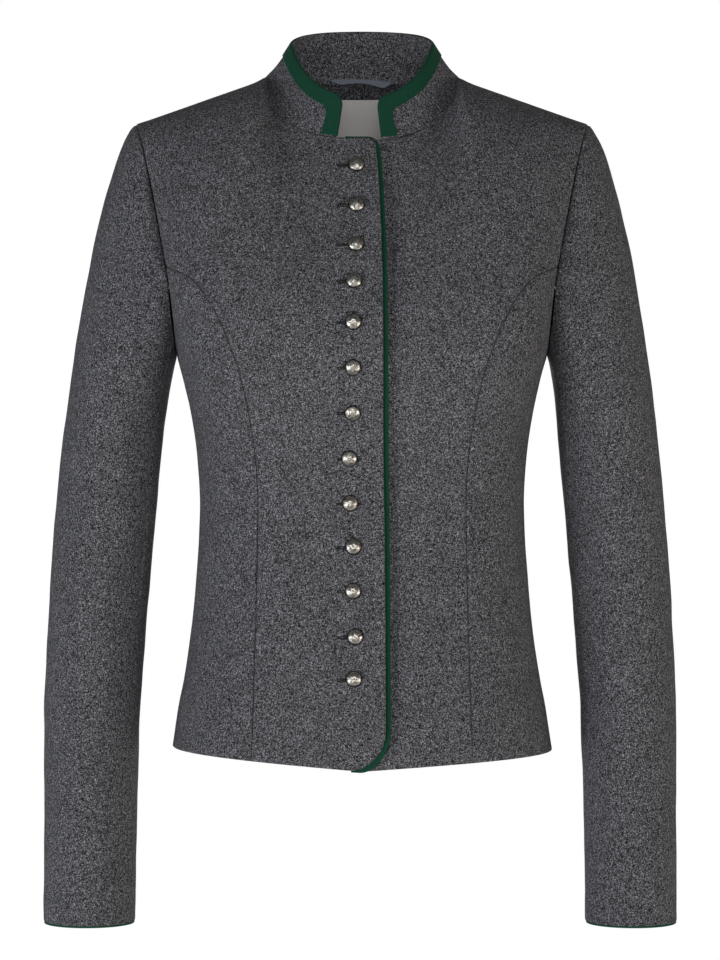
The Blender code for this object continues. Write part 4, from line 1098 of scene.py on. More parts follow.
# ---- sleeves
@dataclass
class Sleeve:
    """A two-piece sleeve, made on the +X side.

    Places count round its ring: 0 is at the shoulder tip, 6 at the front and 12 at the armpit.
    """

    side: float
    spread: float  # how much further out than its rings it hangs
    creases: Rows
    count: int = 24
    place_width: float = 12.5  # about how far one place goes round the sleeve, mm
    under: tuple[int, int] = (10, 17)
    first: float = -300.0
    cuff: float = -687.0
    lean_depth: float = 90.0
    seam_gap: float = 0.3
    #  how the head leaves the armhole at the armpit, and what is added at its outermost line
    head_out: tuple[float, float] = (0.24, 0.48)
    head_side: float = -0.10
    head_down: tuple[float, float] = (-0.97, 0.30)
    head_pull: tuple[float, float] = (0.9, -0.52)
    puff_height: float = 2.8
    puff_width: float = 8.0
    puff_span: tuple[float, float] = (30.0, 130.0)
    tuck_depth: float = 3.6
    tuck_width: float = 12.0
    tuck_start: float = 78.0
    tuck_end: float = 132.0
    tuck_hold: float = 0.3  # the share of its depth that the tuck keeps at the seam
    pitch: float = 2.8
    row_pitch: float = 3.2
    level_start: float = 0.6  # the share of the head's rows that don't run straight across
    place_step: float = 0.06  # small steps that find the way out of the sleeve
    head_step: float = 0.01
    #  height  centre_x  half_width  centre_y  half_depth
    rings: Rows = (
        (-300, 203.2, 40.9, 3, 55), (-347, 207.9, 41.2, 4, 54),
        (-391, 211.6, 40.9, 3.5, 53), (-435, 214.8, 40.3, 1.5, 52),
        (-473, 217, 39.8, -2, 51), (-511, 218.8, 39.1, -6.5, 50),
        (-560, 219.4, 38.3, -13, 48.5), (-610, 219.5, 37.7, -20, 47),
        (-650, 219.6, 37.2, -25.5, 45.5), (-687, 219.7, 37, -31, 44.5),
    )

    def __post_init__(self) -> None:
        """Fit the ring's sizes by height."""
        self.fits = [Column(self.rings, index) for index in range(1, 5)]
        self.hole = FORM.armhole()

    def ring(self, place: Array, height: Array) -> Array:
        """Points of the sleeve below the armhole.

        Args:
            place: Places round the ring.
            height: Heights.

        Returns:
            The points.
        """
        place, height = np.broadcast_arrays(place, height)
        a = np.radians(360.0 * place / self.count)
        x, half_width, y, half_depth = (fit(height) for fit in self.fits)
        lean = self.spread * ramp((FORM.armpit - height) / self.lean_depth)
        return np.stack([x + lean + half_width * np.cos(a), y - half_depth * np.sin(a), height], axis=-1)

    def head(self, place: Array, t: Array) -> Array:
        """Points between the armhole, t 0, and the first ring, t 1.

        Args:
            place: Places round the ring.
            t: How far down.

        Returns:
            The points.
        """
        place, t = np.broadcast_arrays(place, t)
        a = np.radians(360.0 * place / self.count)
        out = ((1 + np.cos(a)) / 2)[..., None]
        start = self.hole.at(place) + self.hole.across() * self.seam_gap
        end = self.ring(place, np.full(place.shape, self.first))
        reach = np.linalg.norm(end - start, axis=-1, keepdims=True)
        leave_x, leave_z, pull = (k[0] + k[1] * out for k in (self.head_out, self.head_down, self.head_pull))
        way = np.concatenate([leave_x, self.head_side * np.sin(a)[..., None], leave_z], axis=-1)
        leave = unit(way) * pull
        arrive = unit(self.ring(place, np.full(place.shape, self.first - 10.0)) - end)
        return hermite(start, leave * reach, end, arrive * reach, t[..., None])

    def sheet(self, name: str, start: float, end: float) -> Sheet:
        """One piece of the sleeve as a sheet.

        Args:
            name: The piece.
            start: The place of its first seam.
            end: The place of its second.

        Returns:
            The sheet.
        """
        place = start + (end - start) * shares((end - start) * self.place_width, self.pitch)
        t = shares(200.0, self.row_pitch, end=False)
        down = shares(self.first - self.cuff, self.row_pitch, start=False)[1:]
        height = self.first + (self.cuff - self.first) * down
        place_t, t = np.meshgrid(place, t)
        place_h, height = np.meshgrid(place, height)
        face = np.vstack([self.head(place_t, t), self.ring(place_h, height)])
        # The head's second place runs downwards and the ring's upwards, so one of the two is turned round.
        head = facing(self.head, place_t, t, self.place_step, self.head_step)
        ways = np.vstack([head, -facing(self.ring, place_h, height, self.place_step, HEIGHT_STEP)])
        half = self.count // 2
        around = (np.vstack([place_t, place_h]) + half) % self.count * self.place_width
        around = around - half * self.place_width
        if self.side < 0:
            face, ways = face * FLIP, ways * FLIP
        edges = {Side.LEFT: SEAM, Side.RIGHT: SEAM, Side.BOTTOM: ARMHOLE_SEAM, Side.TOP: FOLD}
        sheet = Sheet(name, face, ways, CLOTH.loden, edges, around, self.creases, Unevenness(seed=23))
        sheet.raised = self.puff(around, sheet.distance(Side.BOTTOM))
        sheet.level = slice(int(self.level_start * len(t)), None)
        return sheet

    def puff(self, around: Array, gap: Array) -> Array:
        """How the sleeve's fullness stands out beside the armhole, and tucks under towards the armpit.

        Args:
            around: Distances round the sleeve from its outermost line.
            gap: Distances from the armhole.

        Returns:
            Heights, mm.
        """
        place = np.abs(around)
        share = ramp((place - self.puff_span[0]) / 30.0) * ramp((self.puff_span[1] - place) / 26.0)
        puff = self.puff_height * share * gap / self.puff_width * np.exp(1 - gap / self.puff_width)
        inner = ramp((place - self.tuck_start) / 30.0) * ramp((self.tuck_end - place) / 24.0)
        held = self.tuck_hold + (1 - self.tuck_hold) * ramp(gap / 3.0)
        tuck = self.tuck_depth * inner * held * np.exp(-((gap / self.tuck_width) ** 2))
        return puff - tuck


# ---- collar
@dataclass
class Collar:
    """The stand collar and its felt band; places are an angle as the neckline's and a height from 0 to 1."""

    top_half_width: float = 58.0
    top_depth: float = 54.0
    #  height of the top edge, as a cubic in the cosine of the angle
    front_height: tuple[float, ...] = (27.5, -20.0, -60.6, 31.6)
    back_height: tuple[float, ...] = (27.5, -20.0, -2.7, 1.0)
    bulge: float = 0.3
    ends: tuple[float, float] = (-21.0, 17.5)
    corner: float = 9.0
    base_gap: float = 0.1
    band_width: float = 12.0
    band_gap: float = 0.2
    band_wrap: float = 112.0  # degrees that the band's fold turns round the collar's edge
    back_wrap: float = 48.0  # the same at the back
    band_corner: float = 6.5
    band_start: float = 0.8  # how far above the neck seam the band's ends start
    band_blend: float = 16.0  # how far from a corner the two edges' columns run level again
    girth: float = 400.0  # about how long the collar is round, mm
    pitch: float = 2.4
    band_pitch: float = 2.2
    band_row_pitch: float = 1.3
    beyond: float = 99.0  # a distance from the ends that stands for any beyond the corners
    angle_step: float = 1.0  # small steps that find the way out of the collar
    height_step: float = 0.02

    def surface(self, angle: Array, height: Array) -> Array:
        """Points of the collar's outer face, before its left end passes under.

        Args:
            angle: Angles round the neck.
            height: 0 at the seam, 1 at the top.

        Returns:
            The points.
        """
        angle, height = np.broadcast_arrays(angle, height)
        s, c = np.sin(np.radians(angle)), np.cos(np.radians(angle))
        cubic = np.polynomial.polynomial.polyval
        rise = np.where(c > 0, cubic(c, self.front_height), cubic(c, self.back_height))
        top = np.stack([self.top_half_width * s, -self.top_depth * c, rise], axis=-1)
        base = FORM.neckline(angle)
        away = unit(np.stack([s, -c, 0 * s], axis=-1))
        point = base + (top - base) * height[..., None]
        return point - away * (self.bulge * np.sin(np.pi * height))[..., None]

    def placed(self, angle: Array, height: Array, out: float) -> tuple[Array, Array]:
        """Points a distance out from the collar's face and the ways out of it, with the left end set back.

        Args:
            angle: Angles round the neck.
            height: 0 at the seam, 1 at the top.
            out: The distance, mm.

        Returns:
            Points and unit vectors.
        """
        points = self.surface(angle, height)
        ways = facing(self.surface, angle, height, self.angle_step, self.height_step)
        back = np.where(points[..., 0] > 0, CLOTH.lap(points), 0.0)
        return points + ways * (out - back)[..., None], ways

    def tall(self, angle: Array) -> Array:
        """The collar's height along its lean, mm."""
        return np.linalg.norm(self.surface(angle, 1.0 + 0 * angle) - self.surface(angle, 0 * angle), axis=-1)

    def end_angle(self, side: int, inset: Array) -> Array:
        """The angle at a distance in from a front end.

        Args:
            side: 0 for the wearer's right end, 1 for the left.
            inset: Distances.

        Returns:
            Angles.
        """
        first, last = self.ends
        if side == 0:
            return -np.degrees(np.arcsin((-first + inset) / FORM.neck_half_width))
        return -360.0 + np.degrees(np.arcsin((last + inset) / FORM.neck_half_width))

    def columns(self) -> tuple[Array, Array]:
        """The angles of the collar's columns and their distances in from the nearer end."""
        near = np.concatenate([[0.0], CLOSE_STEPS, [5.4, 7.2, self.corner]])
        first, last = self.end_angle(0, near), self.end_angle(1, near)
        middle = np.linspace(first[-1], last[-1], int(self.girth / self.pitch))[1:-1]
        far = np.full(len(middle), self.beyond)
        return np.concatenate([first, middle, last[::-1]]), np.concatenate([near, far, near[::-1]])

    def sheet(self) -> Sheet:
        """The collar as a sheet."""
        angle, inset = self.columns()
        tall = self.tall(angle)
        low, high = self.base_gap / tall, 1 - corner_cut(inset, self.corner) / tall
        share = shares(60.0, self.pitch)[:, None]
        height = low + (high - low) * share
        face, ways = self.placed(np.broadcast_to(angle, height.shape), height, 0.0 * height)
        edges = {side: COLLAR_FOLD for side in Side} | {Side.BOTTOM: NECK_SEAM}
        waves = Unevenness(height=0.12, seed=29)
        return Sheet("collar", face, ways, CLOTH.collar, edges, None, (), waves, NECK_BEND.lift(face))

    def band(self) -> Sheet:
        """The felt band along the collar's front ends and top edge, on its outside."""
        rise, turn = np.linspace(0.0, 1.0, 26)[:-1], np.radians(np.linspace(0.0, 90.0, 14))
        inner = self.band_width + self.band_corner
        outer_inset, outer_level, inner_inset, inner_level = [], [], [], []
        outer_inset += [0 * rise, self.corner * (1 - np.cos(turn))]
        outer_level += [rise, -self.corner * (1 - np.sin(turn))]
        inner_inset += [self.band_width + 0 * rise, inner - self.band_corner * np.cos(turn)]
        inner_level += [rise, -inner + self.band_corner * np.sin(turn)]
        grids = []
        for side in (0, 1):
            outer = self.strip(side, outer_inset, outer_level, self.corner)
            grids.append([outer, self.strip(side, inner_inset, inner_level, inner)])
        last = [[values[::-1] for values in grids[1][k]] for k in (0, 1)]
        start, stop = float(grids[0][0][0][-1]), float(last[0][0][0])
        blend = np.linspace(0.0, 1.0, int(self.girth / self.band_pitch))[1:-1]
        round_first, round_last = blend * abs(stop - start), (1 - blend) * abs(stop - start)
        near = ramp(round_first / self.band_blend) * ramp(round_last / self.band_blend)
        lines, drops = [], (0.0, self.band_width)
        for (first_angle, first_height), (last_angle, last_height), drop in zip(grids[0], last, drops):
            shift = np.where(blend < 0.5, first_angle[-1] - start, last_angle[0] - stop)
            middle = start + (stop - start) * blend + shift * (1 - near)
            angle = np.concatenate([first_angle, middle, last_angle])
            lines.append((angle, np.concatenate([first_height, 1 - drop / self.tall(middle), last_height])))

        def placed(share: Array, out: float) -> tuple[Array, Array]:
            """Points and ways at a share of the way from the band's outer edge to its inner one."""
            angle, height = ((1 - share) * lines[0][k] + share * lines[1][k] for k in (0, 1))
            return self.placed(angle, height, out + 0.0 * height)

        # The band turns over the collar's rounded edge and then lies flat on its outside.
        half = CLOTH.collar / 2
        radius = half + self.band_gap + CLOTH.band
        fold = half / self.band_width
        down = shares(self.band_width - half, self.band_row_pitch, start=False)[:, None]
        flat, flat_ways = placed(fold + (1 - fold) * down, radius - half)
        centre, out = placed(np.full((1, 1), fold), -half)
        inwards = placed(np.full((1, 1), fold + 0.05), -half)[0] - centre
        inwards = unit(inwards - out * np.sum(inwards * out, axis=-1, keepdims=True))
        front = ramp((np.cos(np.radians(lines[0][0])) + 0.25) / 0.5)
        wrap = self.back_wrap + (self.band_wrap - self.back_wrap) * front
        turn = np.radians(np.linspace(1.0, 0.0, 12)[:-1, None] * wrap)[..., None]
        over_ways = out * np.cos(turn) - inwards * np.sin(turn)
        face, ways = np.vstack([centre + over_ways * radius, flat]), np.vstack([over_ways, flat_ways])
        edges = {side: THIN_FOLD for side in Side} | {Side.LEFT: RAW, Side.RIGHT: RAW}
        waves = Unevenness(height=0.05, seed=31)
        return Sheet("collar_band", face, ways, CLOTH.band, edges, waves=waves)

    def strip(self, side: int, insets: list[Array], levels: list[Array], top: float) -> tuple[Array, Array]:
        """One edge of the band round a front corner, as angles and heights.

        Args:
            side: The front end, as in end_angle.
            insets: Distances in from the end, up the end and round the corner.
            levels: Shares of the way up the end, then heights below the top edge, mm.
            top: How far below the top edge the corner starts.

        Returns:
            Angles and heights.
        """
        angle = self.end_angle(side, np.concatenate(insets))
        tall = self.tall(angle)
        count = len(levels[0])
        climb = self.band_start + levels[0] * (tall[:count] - top - self.band_start)
        height = np.concatenate([climb / tall[:count], 1 + levels[1] / tall[count:]])
        return angle, height


# ---- inside the back neck
@dataclass
class BackNeck:
    """The facing, the label and the hanger loop inside the back neck."""

    facing_depth: float = 62.0
    facing_half_width: float = 67.0
    facing_gap: float = 0.8
    facing_top: float = 0.985  # the rise at which it ends, under the collar
    widest_turn: float = 27.0
    rise_length: float = 150.0  # about how long the back is above the yoke line, mm
    label_size: tuple[float, float] = (66.0, 42.0)
    label_top: float = -11.0
    label_gap: float = 0.85
    loop_width: float = 5.0
    loop_inset: float = 3.8
    #  x  lower_edge  upper_edge  stands_out
    loop_rows: Rows = (
        (-26, 3.1, 4.2, 0), (-22, 1.6, 4.4, 0.5),
        (-18, -0.2, 4.5, 1.1), (-11, 0.6, 4.6, 0.9),
        (-3, 1.3, 4.6, 0.6), (6, 0.2, 4.2, 0.8),
        (14, -2.2, 3.3, 1.5), (18, -2.9, 2.8, 1.7),
        (21.5, -1.2, 2.3, 1), (24.5, 0.9, 2, 0),
    )

    def rise_at(self, height: float) -> float:
        """The rise at which the back's fold passes a height."""
        low, high = np.array(0.0), np.array(1.0)
        return float(crossing(lambda r: FORM.above(180.0 + 0 * r, r)[..., 2] - height, low, high))

    def turn_at(self, half_width: float, rise: float) -> float:
        """The turn from the fold at which the back is as wide as asked."""
        low, high = np.array(0.0), np.array(self.widest_turn)
        return float(crossing(lambda t: FORM.above(180.0 - t, rise + 0 * t)[..., 0] - half_width, low, high))

    def patch(
        self, half_width: float, rises: tuple[float, float], depth: float, pitch: float
    ) -> tuple[Array, Array]:
        """A patch inside the back, as points and the ways towards the neck.

        Args:
            half_width: Half its width.
            rises: Its lowest and highest rise.
            depth: How far inside the back's outer face it lies.
            pitch: The grid's spacing.

        Returns:
            Points and unit vectors.
        """
        low, high = rises
        rise = low + (high - low) * shares((high - low) * self.rise_length, pitch)[:, None]
        reach = self.turn_at(half_width, 0.5 * (low + high))
        turn = 180.0 + reach * (2 * shares(2 * half_width, pitch) - 1)
        turn, rise = np.broadcast_arrays(turn, rise)
        ways = facing(FORM.above, turn, rise, TURN_STEP, RISE_STEP)
        return FORM.above(turn, rise) - ways * depth, -ways

    def facing_sheet(self) -> Sheet:
        """The facing, with its face towards the neck."""
        depth = CLOTH.loden + self.facing_gap + CLOTH.facing
        rises = (self.rise_at(-self.facing_depth), self.facing_top)
        face, ways = self.patch(self.facing_half_width, rises, depth, 2.5)
        edges = {side: THIN_FOLD for side in Side}
        waves = Unevenness(height=0.2, seed=37)
        return Sheet("back_neck_facing", face, ways, CLOTH.facing, edges, waves=waves)

    def label_sheet(self) -> Sheet:
        """The blank woven label."""
        depth = CLOTH.loden + self.facing_gap + CLOTH.facing + self.label_gap + CLOTH.label
        width, length = self.label_size
        rises = (self.rise_at(self.label_top - length), self.rise_at(self.label_top))
        face, ways = self.patch(width / 2, rises, depth, 1.6)
        edges = {side: RAW for side in Side}
        waves = Unevenness(height=0.18, shortest=9.0, longest=40.0)
        return Sheet("label", face, ways, CLOTH.label, edges, waves=waves)

    def loop_sheet(self) -> Sheet:
        """The hanger loop: a ribbon caught in the neck seam at its ends, leaning one way and the other."""
        x = np.linspace(self.loop_rows[0][0], self.loop_rows[-1][0], 110)
        low, high, stand = (Column(self.loop_rows, index)(x) for index in (1, 2, 3))
        share = shares(self.loop_width, 0.9)[:, None]
        angle = 180.0 - np.degrees(np.arcsin(x / FORM.neck_half_width))
        face = np.broadcast_to(FORM.neckline(angle), (len(share), len(x), 3)).copy()
        face[..., 1] -= self.loop_inset + stand * (1 - share**2)
        face[..., 2] = low + (high - low) * share
        ways = unit(np.cross(np.gradient(face, axis=0), np.gradient(face, axis=1)))
        edges = {side: RIBBON_EDGE for side in Side}
        return Sheet("hanger_loop", face, ways, CLOTH.loop, edges)


# ---- pipings
@dataclass
class Pipings:
    """The green felt pipings of the front edge and the cuffs."""

    front_start: float = -18.0
    front_end: float = -9.8
    edge_width: float = 1.2  # along the top edge
    top_width: float = 3.6
    full_width: float = 4.1
    end_share: float = 0.35  # of the full width, where the piping ends inside the hem
    pitch: float = 1.6
    #  a section's points: outwards, as a share of the width above 0 and in mm below it; inwards in mm
    section: Rows = (
        (-0.5, 1.3), (0, 1.25), (0.22, 0.95), (0.42, 0.5), (0.65, 0.35), (0.88, 0.55),
        (1, 1.05), (0.93, 1.55), (0.7, 1.85), (0.35, 1.95), (0, 1.9), (-0.5, 1.8),
    )
    #  the same with both in mm
    cuff_section: Rows = (
        (-0.5, 0.7), (0.1, 0.45), (0.9, 0.35), (1.5, 0.7), (1.5, 1.2), (0.9, 1.6), (-0.5, 1.3),
    )
    cuff_points: int = 160

    def front(self, panel: Sheet) -> Piece:
        """The piping along the right front's top edge, free edge and hem corner.

        Args:
            panel: The right front.

        Returns:
            The object.
        """
        top = panel.face[-1][:, 0] > self.front_start
        hem = panel.face[0][:, 0] > self.front_end
        line, ways = (
            np.vstack([grid[-1][top][::-1][:-1], grid[::-1, 0], grid[0][hem][1:]])
            for grid in (panel.face, panel.ways)
        )
        length = lengths(line)
        even = np.linspace(0.0, length[-1], int(length[-1] / self.pitch))
        path, ways = read_off(line, length, even), unit(read_off(ways, length, even))
        along = unit(np.gradient(path, axis=0))
        out = unit(np.cross(along, ways))
        if out[len(out) // 2, 0] < 0:
            out = -out
        width = self.edge_width + (self.top_width - self.edge_width) * ramp((even - 22.0) / 12.0)
        width = width + (self.full_width - self.top_width) * ramp((even - 30.0) / 200.0)
        width = width * (self.end_share + (1 - self.end_share) * ramp((even[-1] - even) / 14.0))
        shape = np.array(self.section)
        section = np.empty((len(path), len(shape), 2))
        section[..., 0] = shape[:, 0] * np.where(shape[:, 0] > 0, width[:, None], 1.0)
        section[..., 1] = shape[:, 1]
        LOG.info("front_piping: %.0f mm long", even[-1])
        piece = cord_mesh("front_piping_felt", path, out, -ways, section)
        return stand_in(piece, "front_piping", "green_felt")

    def cuff(self, sleeve: Sleeve, name: str) -> Piece:
        """The thin piping along a cuff.

        Args:
            sleeve: The sleeve.
            name: Which one.

        Returns:
            The object.
        """
        place = np.linspace(0.0, sleeve.count, self.cuff_points + 1)[:-1]
        height = np.full(place.shape, sleeve.cuff)
        path = sleeve.ring(place, height)
        ways = -facing(sleeve.ring, place, height, sleeve.place_step, HEIGHT_STEP)
        if sleeve.side < 0:
            path, ways = path * FLIP, ways * FLIP
        down = np.broadcast_to(np.array([0.0, 0.0, -1.0]), path.shape)
        inward = -unit(ways * np.array([1.0, 1.0, 0.0]))
        section = np.array(self.cuff_section)
        piece = cord_mesh(f"cuff_piping_{name}_felt", path, down, inward, section, closed=True)
        LOG.info("cuff_piping_%s: %d points round", name, len(path))
        return stand_in(piece, f"cuff_piping_{name}", "green_felt")


# ---- buttons and buttonholes
@dataclass(frozen=True)
class Spot:
    """A place on a sheet: a point, the way out of the cloth, and two ways along it."""

    point: Array
    out: Array
    across: Array
    up: Array


def spot_on(points: Array, ways: Array, x: float, z: float) -> Spot:
    """The place on a cloth's outer face at a given x and height.

    Args:
        points: The face's points.
        ways: The ways out of it.
        x: Distance from the middle.
        z: Height.

    Returns:
        The place.
    """
    miss = np.hypot(points[..., 0] - x, points[..., 2] - z)
    near = np.unravel_index(int(np.argmin(miss)), miss.shape)
    point, out = points[near].copy(), ways[near]
    step = np.array([x - point[0], 0.0, z - point[2]])
    step[1] = -(out[0] * step[0] + out[2] * step[2]) / out[1]
    across = unit(np.cross(np.array([0.0, 0.0, 1.0]), out))
    return Spot(point + step, out, across, np.cross(out, across))


@dataclass
class Button:
    """A domed metal button with a six-petalled flower in low relief on its top."""

    sides: int = 72
    lift: float = 0.75
    petals: int = 6
    petal_start: float = 1.0
    petal_end: float = 3.9
    petal_notch: float = 0.4  # the share of that radius which is cut in between the petals
    eye: float = 0.95
    relief: float = 0.17
    dark_to: float = 4.4  # patina lies between the petals, out to this radius
    foot: float = 1.5  # the foot is painted dark up to this height: painted shade for the shadow round the button
    top: float = 2.0  # the profile above this height carries the relief
    #  radius, height above the cloth
    profile: Rows = (
        (0, 0.15), (3.6, 0.15), (6.1, 0.2), (6.5, 0.35), (6.6, 0.6), (6.45, 0.85), (6.05, 1),
        (6, 1.3), (5.85, 1.62), (5.6, 1.95), (5.3, 2.25), (4.95, 2.53), (4.6, 2.78), (4.25, 3),
        (3.9, 3.2), (3.55, 3.37), (3.2, 3.52), (2.85, 3.65), (2.5, 3.76), (2.15, 3.86), (1.8, 3.94),
        (1.45, 4), (1.1, 4.05), (0.75, 4.08), (0.4, 4.1), (0, 4.1),
    )

    def build(self, name: str, spot: Spot, turn: float) -> Piece:
        """One button.

        Args:
            name: The piece.
            spot: Where it stands.
            turn: How far it is turned, in degrees.

        Returns:
            The object.
        """
        radius, height = np.array(self.profile).T
        angle = np.linspace(0.0, 2 * math.pi, self.sides, endpoint=False)
        r, a = np.meshgrid(radius, angle, indexing="ij")
        h = np.repeat(height[:, None], self.sides, axis=1)
        top = height[:, None] > self.top
        flower = 0.5 + 0.5 * np.cos(self.petals * a)
        reach = self.petal_end * (1 - self.petal_notch + self.petal_notch * flower)
        petal = ramp((reach - r) / 0.8) * ramp((r - self.petal_start) / 0.5)
        raised = np.where(top, np.maximum(petal, ramp((self.eye - r) / 0.4)), 0.0)
        hollow = np.where(top, 0.5 * (1 - raised) * ramp((self.dark_to - r) / 0.8), 0.0)
        # Painted shade: the foot is darkened to stand for the shadow that rings the button on the cloth.
        hollow = np.maximum(hollow, ramp((self.foot - height[:, None]) / 0.5))
        h = h + raised * self.relief
        a = a + math.radians(turn)
        plane = r[..., None] * (np.cos(a)[..., None] * spot.across + np.sin(a)[..., None] * spot.up)
        points = spot.point + spot.out * (h + self.lift)[..., None] + plane
        index = np.arange(r.size).reshape(r.shape)
        quads = quads_of(np.hstack([index, index[:, :1]]))
        flat = points.reshape(-1, 3) * MM
        piece = solid_mesh(f"{name}_metal", flat, quads, None, len(quads), hollow.reshape(-1))
        LOG.info("%s: turned %.0f degrees", name, turn)
        return stand_in(piece, name, "old_silver")


@dataclass
class Buttonhole:
    """A worked buttonhole: two lips of close stitches, joined round their ends, level under the button."""

    centre: float = -10.2
    below: float = 0.7
    length: float = 18.8
    half_width: float = 0.72
    thread: float = 0.5
    flatness: float = 0.8  # the stitches' height as a share of their width
    lift: float = 0.3
    lip_points: int = 40
    end_points: int = 9

    def build(self, name: str, spot: Spot) -> Piece:
        """One buttonhole.

        Args:
            name: The piece.
            spot: The middle of the hole.

        Returns:
            The object.
        """
        end = self.length / 2 - self.half_width
        straight = np.linspace(-end, end, self.lip_points)
        turn = np.linspace(-math.pi / 2, math.pi / 2, self.end_points)[1:-1]
        bend_x, bend_y = end + self.half_width * np.cos(turn), self.half_width * np.sin(turn)
        lip = np.full(straight.shape, self.half_width)
        x = np.concatenate([straight, bend_x, straight[::-1], -bend_x])
        y = np.concatenate([-lip, bend_y, lip, -bend_y])
        path = spot.point + spot.out * self.lift + x[:, None] * spot.across + y[:, None] * spot.up
        along = unit(np.roll(path, -1, axis=0) - np.roll(path, 1, axis=0))
        side = unit(np.cross(spot.out, along))
        ring = np.radians(np.arange(0, 360, 45))
        section = np.stack([np.cos(ring) * self.thread, np.sin(ring) * self.thread * self.flatness], axis=-1)
        piece = cord_mesh(name, path, side, np.broadcast_to(spot.out, path.shape), section, closed=True)
        LOG.info("%s: %.1f mm long", name, self.length)
        return piece


# ---- materials
def linear(code: str) -> tuple[float, float, float, float]:
    """A colour written as sRGB hex, as the linear numbers a shader takes.

    Args:
        code: Six hex digits.

    Returns:
        Red, green, blue and alpha.
    """
    channels = [int(code[k : k + 2], 16) / 255 for k in (0, 2, 4)]
    red, green, blue = (c / 12.92 if c <= 0.04045 else ((c + 0.055) / 1.055) ** 2.4 for c in channels)
    return red, green, blue, 1.0


class Nodes:
    """A material's node tree, with one way to add to it."""

    def __init__(self, name: str) -> None:
        """Start a material that has only its shader and its output.

        Args:
            name: The material.
        """
        self.material = bpy.data.materials.new(name)
        self.material.use_nodes = True
        self.tree = self.material.node_tree
        self.shader = self.tree.nodes["Principled BSDF"]

    def add(self, kind: str, settings: dict | None = None, **inputs: object) -> bpy.types.Node:
        """Add a node; an input given as a node or a socket is linked, and any other value is set.

        Args:
            kind: The node's type name.
            settings: Its own properties.
            inputs: Its inputs by name, with underscores for spaces; a number goes by its index, as i0.

        Returns:
            The node.
        """
        node = self.tree.nodes.new(kind)
        for key, value in (settings or {}).items():
            setattr(node, key, value)
        for key, value in inputs.items():
            numbered = key[0] == "i" and key[1:].isdigit()
            self.put(node.inputs[int(key[1:]) if numbered else key.replace("_", " ")], value)
        return node

    def put(self, socket: bpy.types.NodeSocket, value: object) -> None:
        """Link a node or a socket to an input, or set its value.

        Args:
            socket: The input.
            value: A node, a socket, or a plain value.
        """
        if isinstance(value, bpy.types.Node):
            value = next(out for out in value.outputs if out.enabled)
        if isinstance(value, bpy.types.NodeSocket):
            self.tree.links.new(value, socket)
        else:
            socket.default_value = value

    def set(self, **inputs: object) -> None:
        """Set or link the shader's own inputs."""
        for key, value in inputs.items():
            self.put(self.shader.inputs[key.replace("_", " ")], value)

    def place(self) -> bpy.types.NodeSocket:
        """The piece's own coordinates, in metres."""
        return self.add("ShaderNodeTexCoord").outputs["Object"]

    def cut(self) -> bpy.types.NodeSocket:
        """The coordinates on the piece's flat cut, in metres."""
        return self.add("ShaderNodeTexCoord").outputs["UV"]

    def bump(self, height: object, strength: float, depth: float) -> None:
        """Raise the surface by a height from 0 to 1, up to a depth in mm."""
        look = {"Strength": strength, "Distance": depth * MM}
        self.set(Normal=self.add("ShaderNodeBump", None, Height=height, **look))

    def lines(self, way: str, scale: float, wobble: float = 0.0) -> bpy.types.NodeSocket:
        """Even lines on the flat cut along X or Y, 314 / scale mm apart, as a wave's period is 2 pi / 20."""
        look = {"Vector": self.cut(), "Scale": scale, "Distortion": wobble}
        return self.add("ShaderNodeTexWave", {"bands_direction": way}, **look).outputs["Fac"]

    def maths(self, operation: str, a: object, b: object = 0.0, c: object = 0.0) -> bpy.types.Node:
        """A Math node."""
        return self.add("ShaderNodeMath", {"operation": operation}, i0=a, i1=b, i2=c)

    def mix(self, factor: object, a: object, b: object, blend: str = "MIX") -> bpy.types.Node:
        """A colour Mix node; its result is its one enabled output.

        Args:
            factor: The share of the second colour.
            a: The first colour.
            b: The second.
            blend: How they mix.

        Returns:
            The node.
        """
        node = self.add("ShaderNodeMix", {"data_type": "RGBA", "blend_type": blend})
        self.put(node.inputs["Factor"], factor)
        self.put(node.inputs[6], a)
        self.put(node.inputs[7], b)
        return node

    def spread(self, value: object, low: float, high: float, to_low: float, to_high: float) -> bpy.types.Node:
        """A Map Range node, clamped."""
        ends = {"From_Min": low, "From_Max": high, "To_Min": to_low, "To_Max": to_high}
        return self.add("ShaderNodeMapRange", None, Value=value, **ends)

    def noise(self, place: object, size: float, detail: float, rough: float) -> bpy.types.NodeSocket:
        """A noise whose features are about size mm across, on coordinates in metres."""
        look = {"Scale": 1.0 / (size * MM), "Detail": detail, "Roughness": rough}
        return self.add("ShaderNodeTexNoise", None, Vector=place, **look).outputs["Fac"]


@dataclass(frozen=True)
class Finish:
    """A finish; each kind paints its own nodes."""

    name: str

    def build(self) -> bpy.types.Material:
        """The material."""
        n = Nodes(self.name)
        self.paint(n)
        LOG.info("finish %s: %d nodes", self.name, len(n.tree.nodes))
        return n.material

    def paint(self, n: Nodes) -> None:
        """Set the shader of a new material."""
        raise NotImplementedError


